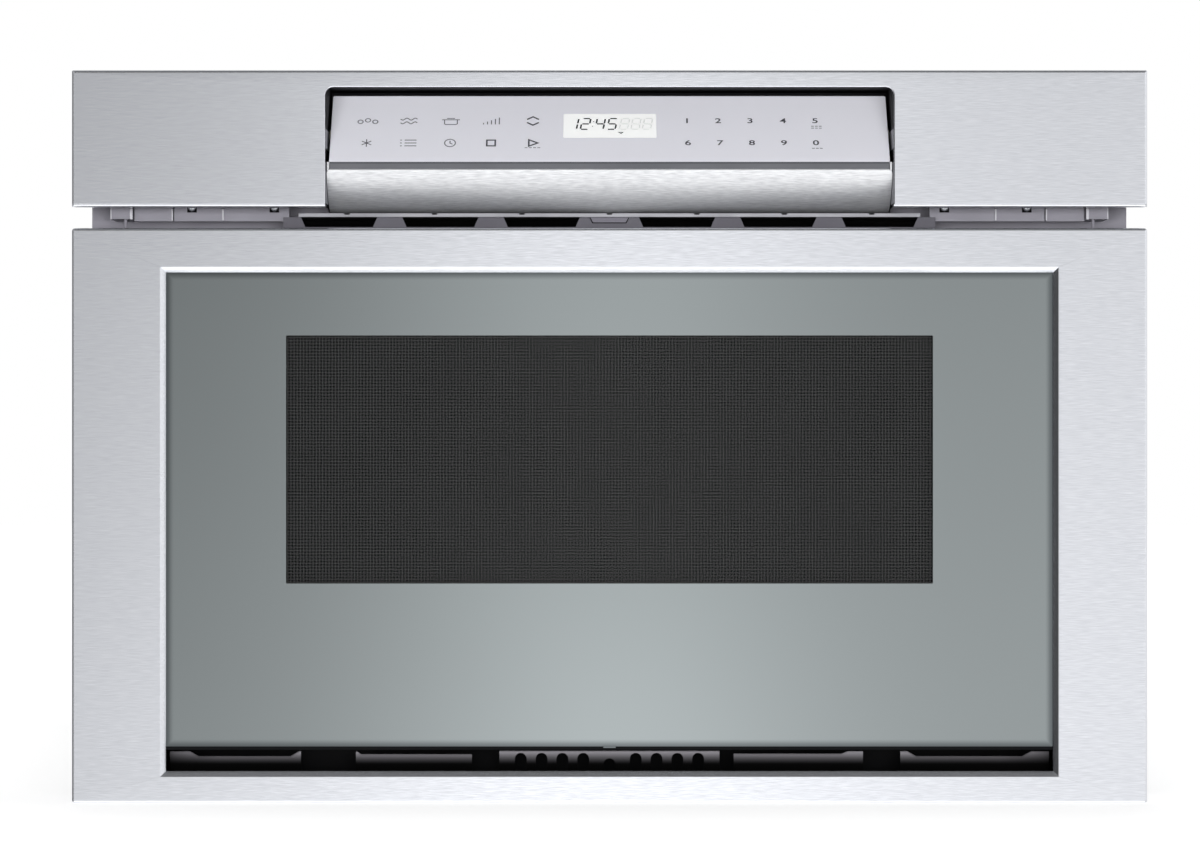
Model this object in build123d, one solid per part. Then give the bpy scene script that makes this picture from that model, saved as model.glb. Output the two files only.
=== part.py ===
from build123d import *
import math
import os

# Built-in microwave drawer with a flip-out control panel, shown with the drawer shut and the
# panel open.  Millimetres.  +Z is up, -Y is the front that the user faces, X is left to right.
# The origin is the middle of the underside of the base plate.  "out" is a distance in front of
# the cabinet face, "depth" a distance behind it.

# ---- chassis ----------------------------------------------------------------------------------
front_width = 606.0           # stainless fronts
chassis_margin = 25.0         # the front overlaps the chassis at each side
chassis_width = front_width - 2 * chassis_margin
chassis_depth = 575.0
chassis_height = 368.0
sheet = 1.5                   # steel sheet of the chassis and the cavity
front_reach = 62.0            # stainless front plane, in front of the cabinet face
fascia_height = 77.0
front_gap = 12.0              # between the fascia and the drawer front
door_height = 324.0
door_drop = 13.0              # the drawer front hangs below the base plate
corner_round = 1.6
past = 1.0                    # how far a cut runs beyond the surface that it opens
wrap_slots = 6                # air slots in the roof of the chassis
wrap_slot_first = 300.0       # depth of the first
wrap_slot_pitch = 18.0
wrap_slot_width = 5.0
wrap_slot_x = (-150.0, -50.0)

# ---- painted front flange ---------------------------------------------------------------------
flange_margin = 4.0           # inside the ends of the stainless fronts
flange_width = front_width - 2 * flange_margin
flange_thick = 2.0
flange_top = 394.0
fixing_inset = 9.0            # screws into the cabinet face, from the flange's ends
fixing_spacing_x = flange_width - 2 * fixing_inset
fixing_spacing_z = 230.0
fixing_low = 60.0
fixing_radius = 2.25
exhaust_cut_margin = 4.0      # exhaust opening, inside the grille's ends
exhaust_cut_low = 306.0
exhaust_cut_drop = 1.6        # below the lip
recess_cut_lift = 3.0         # recess opening, above the lip
rail_cut_gap = 2.0            # room round what passes through the flange
rail_cut_lift = 1.5
rack_cut_gap = 6.0
rack_cut_lift = 4.0

# ---- cavity, waveguide and microwave parts -----------------------------------------------------
cavity_margin = 55.5          # chassis to the inside of the cavity
cavity_width = chassis_width - 2 * cavity_margin
cavity_height = 185.0
cavity_depth = 425.0
cavity_floor = 87.5           # inside face of the floor
waveguide_width = 92.0
waveguide_height = 32.0
waveguide_start = 180.0       # depth of its front end
waveguide_length = 340.0
stirrer_depth = 215.0         # behind the cabinet face
stirrer_radius = 56.0
stirrer_shaft = 3.0
stirrer_drop = 9.0            # blade below the ceiling
stirrer_cover_width = 240.0
stirrer_cover_length = 200.0
stirrer_cover_drop = 15.0
stirrer_motor_radius = 24.0
stirrer_motor_height = 22.0
stirrer_plate_thick = 1.0
stirrer_slots = 4
stirrer_slot_size = (26.0, 14.0)
stirrer_slot_radius = 34.0
stirrer_shaft_seat = 14.0     # shaft inside its motor
seat_spare = 1.0              # bore deeper than the shaft in it
stirrer_cover_wall = 1.5
feed_hole = 12.0
magnetron_depth = 485.0
magnetron_size = (94.0, 78.0, 66.0)
antenna_radius = 9.0
antenna_height = 20.0
yoke_thick = 3.0
anode_radius = 19.0
fin_count = 6
fin_first = 10.0              # above the yoke's underside
fin_pitch = 8.0
fin_thick = 1.0
fin_inset = 4.0
filter_box_inset = (12.0, 6.0)
filter_box_height = 26.0
running_clearance = 0.05      # shafts in their bores, on the radius
seat_clearance = 0.3

# ---- rear parts -------------------------------------------------------------------------------
fan_x = 150.0
fan_z = 170.0
fan_radius = 52.0
fan_blades = 7
fan_hub_radius = 16.0
fan_hub_length = 18.0
fan_shaft = 2.5
fan_frame = 124.0
fan_frame_depth = 46.0
fan_tip_gap = 3.0
fan_arms = 3
fan_arm_size = (40.0, 4.0, 6.0)
fan_arm_radius = 36.5
fan_motor_reach = (14.0, 12.0)     # in front of the frame's front face, and behind it
fan_shaft_seat = 13.0
fan_shaft_bore = 14.0
fan_hub_start = 14.0          # behind the frame's front face
fan_blade_thick = 1.6
fan_blade_chord = 22.0
fan_blade_pitch = 35.0
grille_margin = 4.0
grille_slot = 4.5
grille_pitch = 9.0
gland_x = -200.0
gland_z = 330.0
gland_bore = 4.5
gland_body = 11.0
gland_flange = 15.0
gland_proud = 8.0
gland_inward = 8.0
gland_flange_thick = 3.0
transformer_x = -160.0
transformer_depth = 486.0
transformer_size = (100.0, 60.0, 86.0)
coil_thick = 16.0
core_leg = 17.0
coil_clearance = 0.5
coil_seat = 0.3
capacitor_x = -55.0
capacitor_radius = 25.0
capacitor_height = 92.0
terminal_spacing = 20.0
terminal_size = (6.0, 1.0, 10.0)
board_x = 142.0
board_depth = 310.0
board_size = (146.0, 180.0)
board_thick = 1.6
board_lift = 14.0             # on its posts
board_post_radius = 3.0
board_post_inset = 8.0
board_part_first = -48.0      # from the board's middle
board_part_pitch = 32.0
board_parts = ((28.0, 24.0, 22.0), (20.0, 22.0, 26.0), (32.0, 30.0, 18.0), (14.0, 40.0, 14.0))
lamp_depth = 120.0
lamp_z = 230.0
lamp_radius = 8.0
lamp_case_size = 32.0
lamp_case_bore = 24.0
bulb_gap = 2.5
bulb_start = 2.0

# ---- drawer travel and drive -------------------------------------------------------------------
drawer_travel = 381.0
rail_length = 450.0
rail_bottom = 40.0
rail_height = 45.0
rail_width = 14.0
rail_wall = 1.5
rail_outer_width = 10.0
rail_middle_width = 9.0
rail_middle_inset = 3.0       # from the inside of the chassis
rail_inner_inset = 5.0
rail_gap = 0.35
rail_front = 3.0              # depth of the fixed rail's front end
cross_bar_depth = 440.0
cross_bar_height = 10.0
cross_bar_thick = 12.0
rack_module = 1.5
rack_height = 13.0
rack_teeth_face = 12.0
pinion_teeth = 18
pinion_depth = 30.0           # of the drive shaft, behind the cabinet face
pinion_height = 44.0
wheel_teeth = 48
motor_teeth = 12
gear_module = 1.0
gear_face = 6.0
pressure_angle = 25.0
tooth_addendum = 0.8          # of a module
tooth_dedendum = 1.1
tooth_play = 0.10             # taken off each flank, along the pitch circle
rack_spare = 14.0             # toothed length beyond the travel
drive_shaft = 4.0
drive_shaft_proud = 1.0
motor_shaft = 2.5
motor_shaft_seat = 12.0       # shaft inside its motor
motor_bore_seat = 14.0
motor_shaft_gap = 0.5         # through the bracket
bracket_thick = 3.0
bracket_left_gap = 4.0        # pinion to the left plate
bracket_right_gap = 2.0       # wheel to the right plate
wheel_gap = 3.0               # rack to the wheel
bracket_front = 14.0          # in front of the drive shaft
bracket_rear = 20.0           # behind the motor shaft
bracket_rise = 10.0           # above the shafts
drive_motor_radius = 16.0
drive_motor_length = 40.0

# ---- drawer body ------------------------------------------------------------------------------
tray_side_gap = 2.5           # between drawer box and cavity wall
tray_wall = 2.0
tray_height = 130.0
tray_length = 416.0
tray_lift = 4.0               # drawer box above the cavity floor
plate_thick = 5.0
plate_margin = 4.0
plate_corner = 8.0

# ---- drawer front -----------------------------------------------------------------------------
frame_face = 4.0              # thickness of the stainless face
frame_wall = 1.5
frame_return = 54.0           # how far its sides run back behind the face
window_margin = 50.0          # frame beside the window
window_width = front_width - 2 * window_margin
window_head = 22.0            # frame above the window
window_sill = 16.0            # and below it
window_height = door_height - window_head - window_sill
window_bevel = 3.0
glass_thick = 4.7
glass_overlap = 3.5           # hidden behind the frame at the sides and top
glass_lift = 16.3             # air inlet left open below the glass
gasket_thick = 3.5
gasket_width = 9.0
mesh_margin = 17.5            # mesh window to the choke cover's opening, at its sides
mesh_height = 140.0
mesh_middle = 180.6           # height of the mesh window's middle
mesh_border = 5.0
mesh_thick = 0.8
inner_panel_margin = 9.0      # beyond the window at each side
inner_panel_width = window_width + 2 * inner_panel_margin
inner_panel_rise = 4.0        # above the glass
back_panel_out = 22.5         # rear face of the panel that closes the drawer front
choke_overlap = (22.5, 14.5)  # choke cover beyond the cavity's mouth, sideways and upwards
choke_width = cavity_width + 2 * choke_overlap[0]
choke_height = cavity_height + 2 * choke_overlap[1]
choke_gap = 0.5               # choke cover to front flange
choke_inset = 22.5            # opening of the choke cover, inside the cavity's width
choke_opening_width = cavity_width - 2 * choke_inset
choke_opening_height = 160.0
mesh_width = choke_opening_width - 2 * mesh_margin
pane_thick = 4.0
vent_tab_out = 46.0
vent_tab_top = 15.2
vent_hole_width = 6.4
vent_hole_pitch = 11.9
vent_holes_a_side = 4
vent_hole_drop = 1.6          # top of a hole, below the tab's top
vent_middle_drop = 5.0
vent_plate_thick = 1.2
vent_foot = 14.0
vent_tabs = ((-249.3, -175.0), (-143.8, -78.0), (-60.4, 60.4), (78.0, 143.8), (175.0, 249.3))
trim_strip_height = 2.2
hook_gap = 8.0                # hooks beside the choke cover
hook_spacing = choke_width + 2 * hook_gap
hook_z = 218.0
hook_size = (4.0, 8.0)
hook_reach = 12.0             # behind the cabinet face
hook_notch = (4.0, 8.0)       # notch of the hook, before its end
switch_case = (18.0, 24.0, 32.0)
switch_pocket_gap = 1.0
switch_pocket_spare = 3.0
door_screw_inset = 18.0
door_screw_x = front_width / 2 - door_screw_inset
door_screw_places = (0.35, 0.66, 0.90)  # of the front's height

# ---- control panel ----------------------------------------------------------------------------
panel_cut_top = 389.9         # cut-out of the fascia
panel_cut_round = 4.5
panel_axis_out = 22.2
panel_axis_z = 366.0
cover_radius = 45.0
cover_thick = 1.0
panel_swing = 61.0            # from open to shut
shut_ridge_angle = 30.7       # ridge of the shut cover, above the horizontal from the axis
cover_sweep = 101.5           # angle that the cover's arc spans
cover_top_angle = shut_ridge_angle - panel_swing
cover_end_angle = cover_top_angle - cover_sweep
face_width = 316.4
cover_overlap = 1.3           # cover beyond the key face at each end
cover_width = face_width + 2 * cover_overlap
cut_clearance = 0.7
panel_cut_width = cover_width + 2 * cut_clearance
face_low = (60.7, 347.5)      # out and height of the key face's lower edge
face_high = (22.2, 388.0)
face_thick = 2.5
housing_wall = 2.5
end_plate = 3.0
display_width = 52.6
display_start = 14.4          # down the key face, from its upper edge
display_end = 34.3
display_x = 0.3
control_board_size = (240.0, 36.0)
control_board_thick = 1.6
control_board_shift = 3.0     # towards the key face's upper edge
chip_places = (-80.0, -20.0, 40.0)
chip_size = (12.0, 12.0, 2.0)
chip_start = 8.0
liner_gap = 1.9               # liner to the key face's ends
liner_wall = 2.0
liner_top_gap = 2.1
liner_skin = 1.5
liner_seat = 0.2              # liner above the fascia's folded edge
liner_back = 14.0             # depth of the pocket under the cabinet rail
liner_pocket_top = 352.0
pivot_radius = 3.0
pivot_inset = 3.0
pivot_proud = 2.0
panel_gear_teeth = 24
panel_pinion_teeth = 12
panel_gear_face = 5.0
panel_gear_stand = 2.0        # gear to the liner's outer face
panel_motor_radius = 12.0
panel_motor_length = 15.0
panel_motor_gap = 1.0         # pinion to motor
panel_motor_shaft = 2.0
panel_shaft_seat = 8.0
panel_bore_seat = 10.0
panel_post_radius = 1.8
panel_post_spacing = 20.0
panel_post_seat = 2.0
cut_reach = 30.0              # cut-out of the fascia, drawn out below its edge
fascia_fold = 9.0             # width of its folded lower edge
display_inset = 0.2
outline_steps = 24            # in the round outline of an end plate

# ---- trim seen in the gap under the fascia -------------------------------------------------------
lip_width = 354.0
lip_out = 37.0
lip_z = 318.6
lip_thick = 1.2
lip_hem = 2.0
lip_notch = 3.0
lip_notch_pitch = 49.8
lip_notches_a_side = 3
lip_hem_thick = 1.0
grille_out = 33.0
grille_width = 372.0
grille_low = 312.0
slot_top_width = 44.4
slot_low_width = 38.6
slot_low = 313.0
slot_first = 38.6
slot_pitch = 57.8
tab_top_width = 22.2
tab_low_width = 18.0
tab_height = 2.6
tab_stand = 0.6
slots_a_side = 3
mount_out = 28.0
mount_low = 316.5
mount_top = 340.0
mount_thick = 1.2
mount_widths = (37.1, 27.4, 21.7)
mount_start = 183.0
mount_slit = 1.1
bracket_width = 12.6
bracket_margin = 31.1         # from the end of the stainless front
bracket_start = front_width / 2 - bracket_margin
bracket_out = 34.0
bracket_low = 317.5
bracket_top = 345.0
pin_radius = 0.9
pin_low = 312.5
pin_place = 0.35              # of the bracket's width
pin_inset = 4.0
screw_head = 3.0
screw_head_high = 1.8
screw_z = 324.0
screw_places = (191.4, 238.5)

# ---- worked out from the sizes above -------------------------------------------------------------
cabinet_y = -chassis_depth / 2
rear_y = chassis_depth / 2
front_y = cabinet_y - front_reach
door_low = -door_drop
door_top = door_low + door_height
fascia_low = door_top + front_gap
fascia_top = fascia_low + fascia_height
inner_x = chassis_width / 2 - sheet
cavity_x = cavity_width / 2
cavity_ceiling = cavity_floor + cavity_height
window_low = door_low + window_sill
window_top = window_low + window_height
return_out = front_reach - frame_face - frame_return
pinion_pitch = rack_module * pinion_teeth / 2
wheel_pitch = gear_module * wheel_teeth / 2
motor_pitch = gear_module * motor_teeth / 2
rack_pitch_z = pinion_height + pinion_pitch
rack_top = rack_pitch_z + rack_height
wheel_x = (rack_teeth_face / 2 + wheel_gap, rack_teeth_face / 2 + wheel_gap + gear_face)
bracket_left_end = -rack_teeth_face / 2 - bracket_left_gap
bracket_left_x = (bracket_left_end - bracket_thick, bracket_left_end)
bracket_right_x = (wheel_x[1] + bracket_right_gap, wheel_x[1] + bracket_right_gap + bracket_thick)
motor_depth = pinion_depth + wheel_pitch + motor_pitch
rail_depths = (rail_front, rail_front + rail_length)
waveguide_low = cavity_ceiling + sheet
waveguide_top = waveguide_low + waveguide_height
face_length = math.dist(face_low, face_high)
liner_x = face_width / 2 + liner_gap
gear_x = liner_x + liner_wall + panel_gear_stand
panel_gear_pitch = gear_module * panel_gear_teeth / 2
panel_pinion_pitch = gear_module * panel_pinion_teeth / 2
panel_pinion_z = panel_axis_z + panel_gear_pitch + panel_pinion_pitch
tray_x = cavity_x - tray_side_gap
tray_floor = cavity_floor + tray_lift
glass_low = window_low + glass_lift
glass_top = window_top - window_bevel + glass_overlap
glass_half = window_width / 2 - window_bevel + glass_overlap
glass_face = front_y + frame_face
glass_back = glass_face + glass_thick
gasket_back = glass_back + gasket_thick
mesh_back = gasket_back + sheet


def y_out(out):
    """Y of a place in front of the cabinet face."""
    return cabinet_y - out


def y_in(depth):
    """Y of a place behind the cabinet face."""
    return cabinet_y + depth


def span(width, middle=0.0):
    """The two ends of a width about its middle."""
    return (middle - width / 2, middle + width / 2)


def block(x, y, z):
    """A box between two values on each axis."""
    size = [abs(pair[1] - pair[0]) for pair in (x, y, z)]
    middle = [(pair[0] + pair[1]) / 2 for pair in (x, y, z)]
    return Pos(*middle) * Box(*size)


def rod(radius, start, end, axis):
    """A round bar along X, Y or Z, from start to end."""
    length = math.dist(start, end)
    middle = tuple((a + b) / 2 for a, b in zip(start, end))
    turn = {"X": Rot(0, 90, 0), "Y": Rot(90, 0, 0), "Z": Rot(0, 0, 0)}[axis]
    return Pos(*middle) * turn * Cylinder(radius, length)


def side_profile(points, x_low, x_high):
    """A closed outline in Y and Z, carried along X."""
    face = make_face(Polyline([(y, z) for y, z in points], close=True).edges())
    return Pos(x_low, 0, 0) * extrude(Plane.YZ * face, x_high - x_low)


def front_profile(points, y_low, y_high):
    """A closed outline in X and Z, carried along Y."""
    flat = make_face(Polyline([(x, z) for x, z in points], close=True).edges())
    return Pos(0, y_high, 0) * extrude(Plane.XZ * flat, y_high - y_low)


def mirrored(solid):
    """The same piece on the other side of the middle plane."""
    return mirror(solid, about=Plane.YZ)


def both_sides(solid):
    """A piece and its mirror image, as two solids."""
    return Compound([*solid.solids(), *mirrored(solid).solids()])


def group(*pieces):
    """Several separate solids under one name."""
    return Compound([solid for piece in pieces for solid in piece.solids()])


# ---- gears -------------------------------------------------------------------------------------
def gear_outline(module, teeth, tooth_at):
    """An involute gear's outline about the origin, with one tooth centred at tooth_at degrees."""
    pitch = module * teeth / 2
    base = pitch * math.cos(math.radians(pressure_angle))
    tip = pitch + tooth_addendum * module
    root = pitch - tooth_dedendum * module
    involute = math.tan(math.radians(pressure_angle)) - math.radians(pressure_angle)
    half_tooth = math.pi / (2 * teeth) - tooth_play / pitch
    flank = []
    steps = 5
    for step in range(steps + 1):
        radius = max(base, root) + (tip - max(base, root)) * step / steps
        angle = math.acos(min(1.0, base / radius))
        flank.append((radius, half_tooth + involute - (math.tan(angle) - angle)))
    points = []
    for tooth in range(teeth):
        middle = math.radians(tooth_at) + 2 * math.pi * tooth / teeth
        side = [(root, flank[0][1])] + flank if root < base else flank
        arms = [(r, middle - a) for r, a in side] + [(r, middle + a) for r, a in reversed(side)]
        points += [(r * math.cos(a), r * math.sin(a)) for r, a in arms]
    return points


def gear(module, teeth, tooth_at, centre_y, centre_z, x_low, x_high):
    """A spur gear about an axis along X; tooth_at is counted from +Y towards +Z."""
    outline = gear_outline(module, teeth, tooth_at)
    points = [(centre_y + y, centre_z + z) for y, z in outline]
    return side_profile(points, x_low, x_high)


# ---- chassis -----------------------------------------------------------------------------------
def make_base_plate():
    """The plate that the whole drawer stands on."""
    return block(span(chassis_width), (cabinet_y, rear_y), (0, sheet))


def make_outer_wrap():
    """The roof and two sides, folded from one sheet, with air slots over the supply board."""
    outside = block(span(chassis_width), (cabinet_y, rear_y),
                    (sheet, chassis_height))
    inside = block((-inner_x, inner_x), (cabinet_y - past, rear_y + past),
                   (0, chassis_height - sheet))
    wrap = outside - inside
    for row in range(wrap_slots):
        slot_y = y_in(wrap_slot_first + wrap_slot_pitch * row)
        wrap -= block(wrap_slot_x, (slot_y, slot_y + wrap_slot_width),
                      (chassis_height - sheet - past, chassis_height + past))
    return wrap


def make_rear_panel():
    """The rear sheet, with the fan's grille and the hole of the cord inlet."""
    panel = block((-inner_x, inner_x), (rear_y - sheet, rear_y), (sheet, chassis_height - sheet))
    reach = fan_radius - grille_margin
    count = int(reach // grille_pitch)
    for index in range(-count, count + 1):
        across = index * grille_pitch
        half = math.sqrt(reach ** 2 - across ** 2)
        panel -= block((fan_x + across - grille_slot / 2, fan_x + across + grille_slot / 2),
                       (rear_y - sheet - past, rear_y + past), (fan_z - half, fan_z + half))
    hole = rod(gland_body + running_clearance, (gland_x, rear_y - sheet - past, gland_z),
               (gland_x, rear_y + past, gland_z), "Y")
    return panel - hole


def make_front_flange():
    """The painted plate that closes the cabinet's cut-out, opened for what passes through it."""
    plate = block(span(flange_width), (y_out(flange_thick), cabinet_y),
                  (0, flange_top))
    through = (y_out(flange_thick + past), cabinet_y + past)
    plate -= block((-cavity_x, cavity_x), through, (cavity_floor, cavity_ceiling))
    plate -= block((-liner_x - liner_wall - seat_clearance, liner_x + liner_wall + seat_clearance),
                   through, (lip_z + lip_thick + recess_cut_lift, flange_top + past))
    exhaust_half = grille_width / 2 - exhaust_cut_margin
    plate -= block((-exhaust_half, exhaust_half), through, (exhaust_cut_low, lip_z - exhaust_cut_drop))
    half_rack = rack_teeth_face / 2 + rack_cut_gap
    plate -= block((-half_rack, half_rack), through, (rack_pitch_z - rack_cut_gap, rack_top + rack_cut_lift))
    for side in (-1, 1):
        rail_x = sorted((side * (inner_x - rail_width - rail_cut_gap), side * (inner_x + past)))
        rail_z = (rail_bottom - rail_cut_lift, rail_bottom + rail_height + rail_cut_lift)
        plate -= block(rail_x, through, rail_z)
        hook_x = side * hook_spacing / 2
        plate -= block((hook_x - hook_size[0], hook_x + hook_size[0]), through,
                       (hook_z - hook_size[1], hook_z + hook_size[1]))
        for fixing_z in (fixing_low, fixing_low + fixing_spacing_z):
            fixing_x = side * fixing_spacing_x / 2
            plate -= rod(fixing_radius, (fixing_x, through[0], fixing_z),
                         (fixing_x, through[1], fixing_z), "Y")
    return plate


def make_exhaust_grille():
    """The painted plate under the lip, with six trapezoid slots and a raised middle tab."""
    back, face = y_out(grille_out - lip_thick), y_out(grille_out)
    plate = block(span(grille_width), (face, back), (grille_low, lip_z))
    for side in (-1, 1):
        for index in range(slots_a_side):
            middle = side * (slot_first + index * slot_pitch)
            low, high = span(slot_low_width, middle), span(slot_top_width, middle)
            top = lip_z + past
            corners = [(low[0], slot_low), (low[1], slot_low), (high[1], top), (high[0], top)]
            plate -= front_profile(corners, face - past, back + past)
    tab = front_profile([(-tab_low_width / 2, lip_z - tab_height), (tab_low_width / 2, lip_z - tab_height),
                         (tab_top_width / 2, lip_z), (-tab_top_width / 2, lip_z)], face - tab_stand, face)
    return plate + tab


def make_air_deflector():
    """The thin lip over the exhaust slots, folded up a little at its front edge."""
    lip = block(span(lip_width), (y_out(lip_out), y_out(flange_thick)),
                (lip_z, lip_z + lip_thick))
    lip += block(span(lip_width), (y_out(lip_out), y_out(lip_out - lip_hem_thick)),
                 (lip_z, lip_z + lip_hem))
    for index in range(-lip_notches_a_side, lip_notches_a_side + 1):
        middle = index * lip_notch_pitch
        lip -= block((middle - lip_notch / 2, middle + lip_notch / 2),
                     (y_out(lip_out + past), y_out(lip_out - lip_hem_thick)),
                     (lip_z + lip_thick, lip_z + lip_hem + past))
    return lip


def make_fascia_mounts():
    """Three folded plates on each side, screwed between the flange and the fascia."""
    plates = []
    edge = mount_start
    for width in mount_widths:
        plate = block((-edge - width, -edge), (y_out(mount_out + mount_thick), y_out(mount_out)),
                      (mount_low, mount_top + mount_thick))
        plate += block((-edge - width, -edge), (y_out(mount_out), y_out(flange_thick)),
                       (mount_top, mount_top + mount_thick))
        plates.append(plate)
        edge += width + mount_slit
    return both_sides(group(*plates))


def make_alignment_brackets():
    """A folded bracket with an adjusting pin at each end of the gap."""
    block_x = (-bracket_start - bracket_width, -bracket_start)
    bracket = block(block_x, (y_out(bracket_out), y_out(flange_thick)), (bracket_low, bracket_top))
    inside = (block_x[0] + mount_thick, block_x[1] - mount_thick)
    bracket -= block(inside, (y_out(bracket_out - mount_thick), y_out(flange_thick - past)),
                     (bracket_low + mount_thick, bracket_top + past))
    pin_x = -bracket_start - pin_place * bracket_width
    pin_y = y_out(bracket_out - pin_inset)
    pin = rod(pin_radius, (pin_x, pin_y, pin_low), (pin_x, pin_y, bracket_low), "Z")
    return both_sides(group(bracket, pin))


def make_chassis_screws():
    """The screws whose heads show under the fascia's lower edge."""
    heads = []
    face = y_out(mount_out + mount_thick)
    for place in screw_places:
        tip = (-place, face - screw_head_high, screw_z)
        heads.append(rod(screw_head, tip, (-place, face, screw_z), "Y"))
    return both_sides(group(*heads))


# ---- fascia and recess ---------------------------------------------------------------------------
def make_fascia():
    """The stainless pan of the fixed part, with an inverted-U cut-out for the control panel."""
    half = front_width / 2
    outside = block((-half, half), (front_y, y_out(flange_thick)), (fascia_low, fascia_top))
    outside = fillet(outside.edges().filter_by(Axis.Y), corner_round)
    inside = block((-half + frame_wall, half - frame_wall), (front_y + frame_wall, cabinet_y),
                   (fascia_low - past, fascia_top - frame_wall))
    cut = block(span(panel_cut_width), (front_y - past, cabinet_y),
                (fascia_low - cut_reach, panel_cut_top))
    upper = [edge for edge in cut.edges().filter_by(Axis.Y) if edge.center().Z > fascia_low]
    cut = fillet(upper, panel_cut_round)
    pan = outside - inside
    lower_lip = block((-half + frame_wall, half - frame_wall),
                      (front_y + frame_wall, front_y + frame_wall + fascia_fold),
                      (fascia_low, fascia_low + frame_wall))
    return pan + lower_lip - cut


def make_recess_liner():
    """The black box behind the cut-out; it steps back under the cabinet rail."""
    outer_x = liner_x + liner_wall
    front = y_out(front_reach - frame_wall)
    top = panel_cut_top + liner_top_gap
    low = fascia_low + frame_wall + liner_seat
    face_y = y_out(flange_thick)
    pocket_y = y_in(liner_back)
    skin = liner_skin
    profile = [(front, low), (front, top + skin), (face_y + skin, top + skin),
               (face_y + skin, liner_pocket_top + skin), (pocket_y + skin, liner_pocket_top + skin),
               (pocket_y + skin, low)]
    body = side_profile(profile, -outer_x, outer_x)
    hollow = [(front - past, low - past), (front - past, top), (face_y, top),
              (face_y, liner_pocket_top), (pocket_y, liner_pocket_top), (pocket_y, low - past)]
    body -= side_profile(hollow, -liner_x, liner_x)
    for side in (-1, 1):
        body -= rod(pivot_radius + running_clearance,
                    (side * (liner_x - past), y_out(panel_axis_out), panel_axis_z),
                    (side * (outer_x + past), y_out(panel_axis_out), panel_axis_z), "X")
    return body


# ---- control panel -------------------------------------------------------------------------------
def panel_point(radius, angle):
    """Y and Z of a place about the panel's axis; the angle is counted from straight out, upwards."""
    turn = math.radians(angle)
    return (y_out(panel_axis_out + radius * math.cos(turn)), panel_axis_z + radius * math.sin(turn))


def arc_points(radius, start, end, steps):
    """Places along an arc about the panel's axis."""
    return [panel_point(radius, start + (end - start) * step / steps) for step in range(steps + 1)]


def ring_part(outer, inner, start, end, x_low, x_high):
    """Part of a round wall about the panel's axis, with true arcs, carried along X."""
    middle = (start + end) / 2
    outer_arc = ThreePointArc(panel_point(outer, start), panel_point(outer, middle), panel_point(outer, end))
    inner_arc = ThreePointArc(panel_point(inner, end), panel_point(inner, middle), panel_point(inner, start))
    joins = [Line(outer_arc @ 1, inner_arc @ 0), Line(inner_arc @ 1, outer_arc @ 0)]
    face = make_face([*outer_arc.edges(), *joins[0].edges(), *inner_arc.edges(), *joins[1].edges()])
    return Pos(x_low, 0, 0) * extrude(Plane.YZ * face, x_high - x_low)


def face_point(down, inward):
    """Y and Z of a place on the key face: down from its upper edge, and inward from its surface."""
    high = (y_out(face_high[0]), face_high[1])
    low = (y_out(face_low[0]), face_low[1])
    length = math.dist(high, low)
    along = ((low[0] - high[0]) / length, (low[1] - high[1]) / length)
    inwards = (-along[1], along[0])
    return (high[0] + along[0] * down + inwards[0] * inward, high[1] + along[1] * down + inwards[1] * inward)


def face_slab(down, inward, x_low, x_high):
    """A flat piece parallel to the key face."""
    corners = [face_point(down[0], inward[0]), face_point(down[1], inward[0]),
               face_point(down[1], inward[1]), face_point(down[0], inward[1])]
    return side_profile(corners, x_low, x_high)


def make_panel_face():
    """The touch-key face, opened for the display."""
    half = face_width / 2
    face = face_slab((0, face_length), (0, face_thick), -half, half)
    window = face_slab((display_start, display_end), (-past, face_thick + past),
                       display_x - display_width / 2, display_x + display_width / 2)
    return face - window


def make_display_window():
    """The clear window over the display, set a little into the key face."""
    return face_slab((display_start, display_end), (display_inset, face_thick),
                     display_x - display_width / 2, display_x + display_width / 2)


def make_panel_housing():
    """The moulded body behind the key face: a face wall, a round wall and two end plates."""
    half = face_width / 2
    outer = cover_radius - cover_thick - seat_clearance
    face_wall = face_slab((0, face_length), (face_thick, face_thick + housing_wall), -half, half)
    round_wall = ring_part(outer, outer - housing_wall, cover_top_angle, cover_end_angle, -half, half)
    arc = arc_points(outer, cover_top_angle, cover_end_angle, outline_steps)
    outline = [face_point(0, face_thick), face_point(face_length, face_thick), *arc]
    ends = (side_profile(outline, -half, -half + end_plate) + side_profile(outline, half - end_plate, half))
    front = side_profile([face_point(face_length, face_thick), panel_point(outer, cover_top_angle),
                          panel_point(outer - 2 * housing_wall, cover_top_angle),
                          face_point(face_length - 2 * housing_wall, face_thick)], -half, half)
    body = face_wall + round_wall + ends + front
    for side in (-1, 1):
        body -= rod(pivot_radius, (side * (half - end_plate - past), y_out(panel_axis_out), panel_axis_z),
                    (side * (half + past), y_out(panel_axis_out), panel_axis_z), "X")
    return body


def make_panel_cover():
    """The curved stainless cover, which faces the user when the panel is shut."""
    cover = ring_part(cover_radius, cover_radius - cover_thick, cover_top_angle, cover_end_angle,
                      *span(cover_width))
    ridge = panel_point(cover_radius - cover_thick / 2, cover_top_angle)
    corners = [edge for edge in cover.edges().filter_by(GeomType.LINE) if edge.length < 2 * cover_thick
               and math.dist((edge.center().Y, edge.center().Z), ridge) < cover_thick / 2]
    return fillet(corners, panel_cut_round)


def make_control_board():
    """The board behind the keys, with its chips."""
    seat = face_thick + housing_wall
    start = (face_length - control_board_size[1]) / 2 - control_board_shift
    board = face_slab((start, start + control_board_size[1]), (seat, seat + control_board_thick),
                      -control_board_size[0] / 2, control_board_size[0] / 2)
    back = seat + control_board_thick
    wide, long, high = chip_size
    down = (start + chip_start, start + chip_start + long)
    chips = [face_slab(down, (back, back + high), place, place + wide) for place in chip_places]
    return group(board, *chips)


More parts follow.
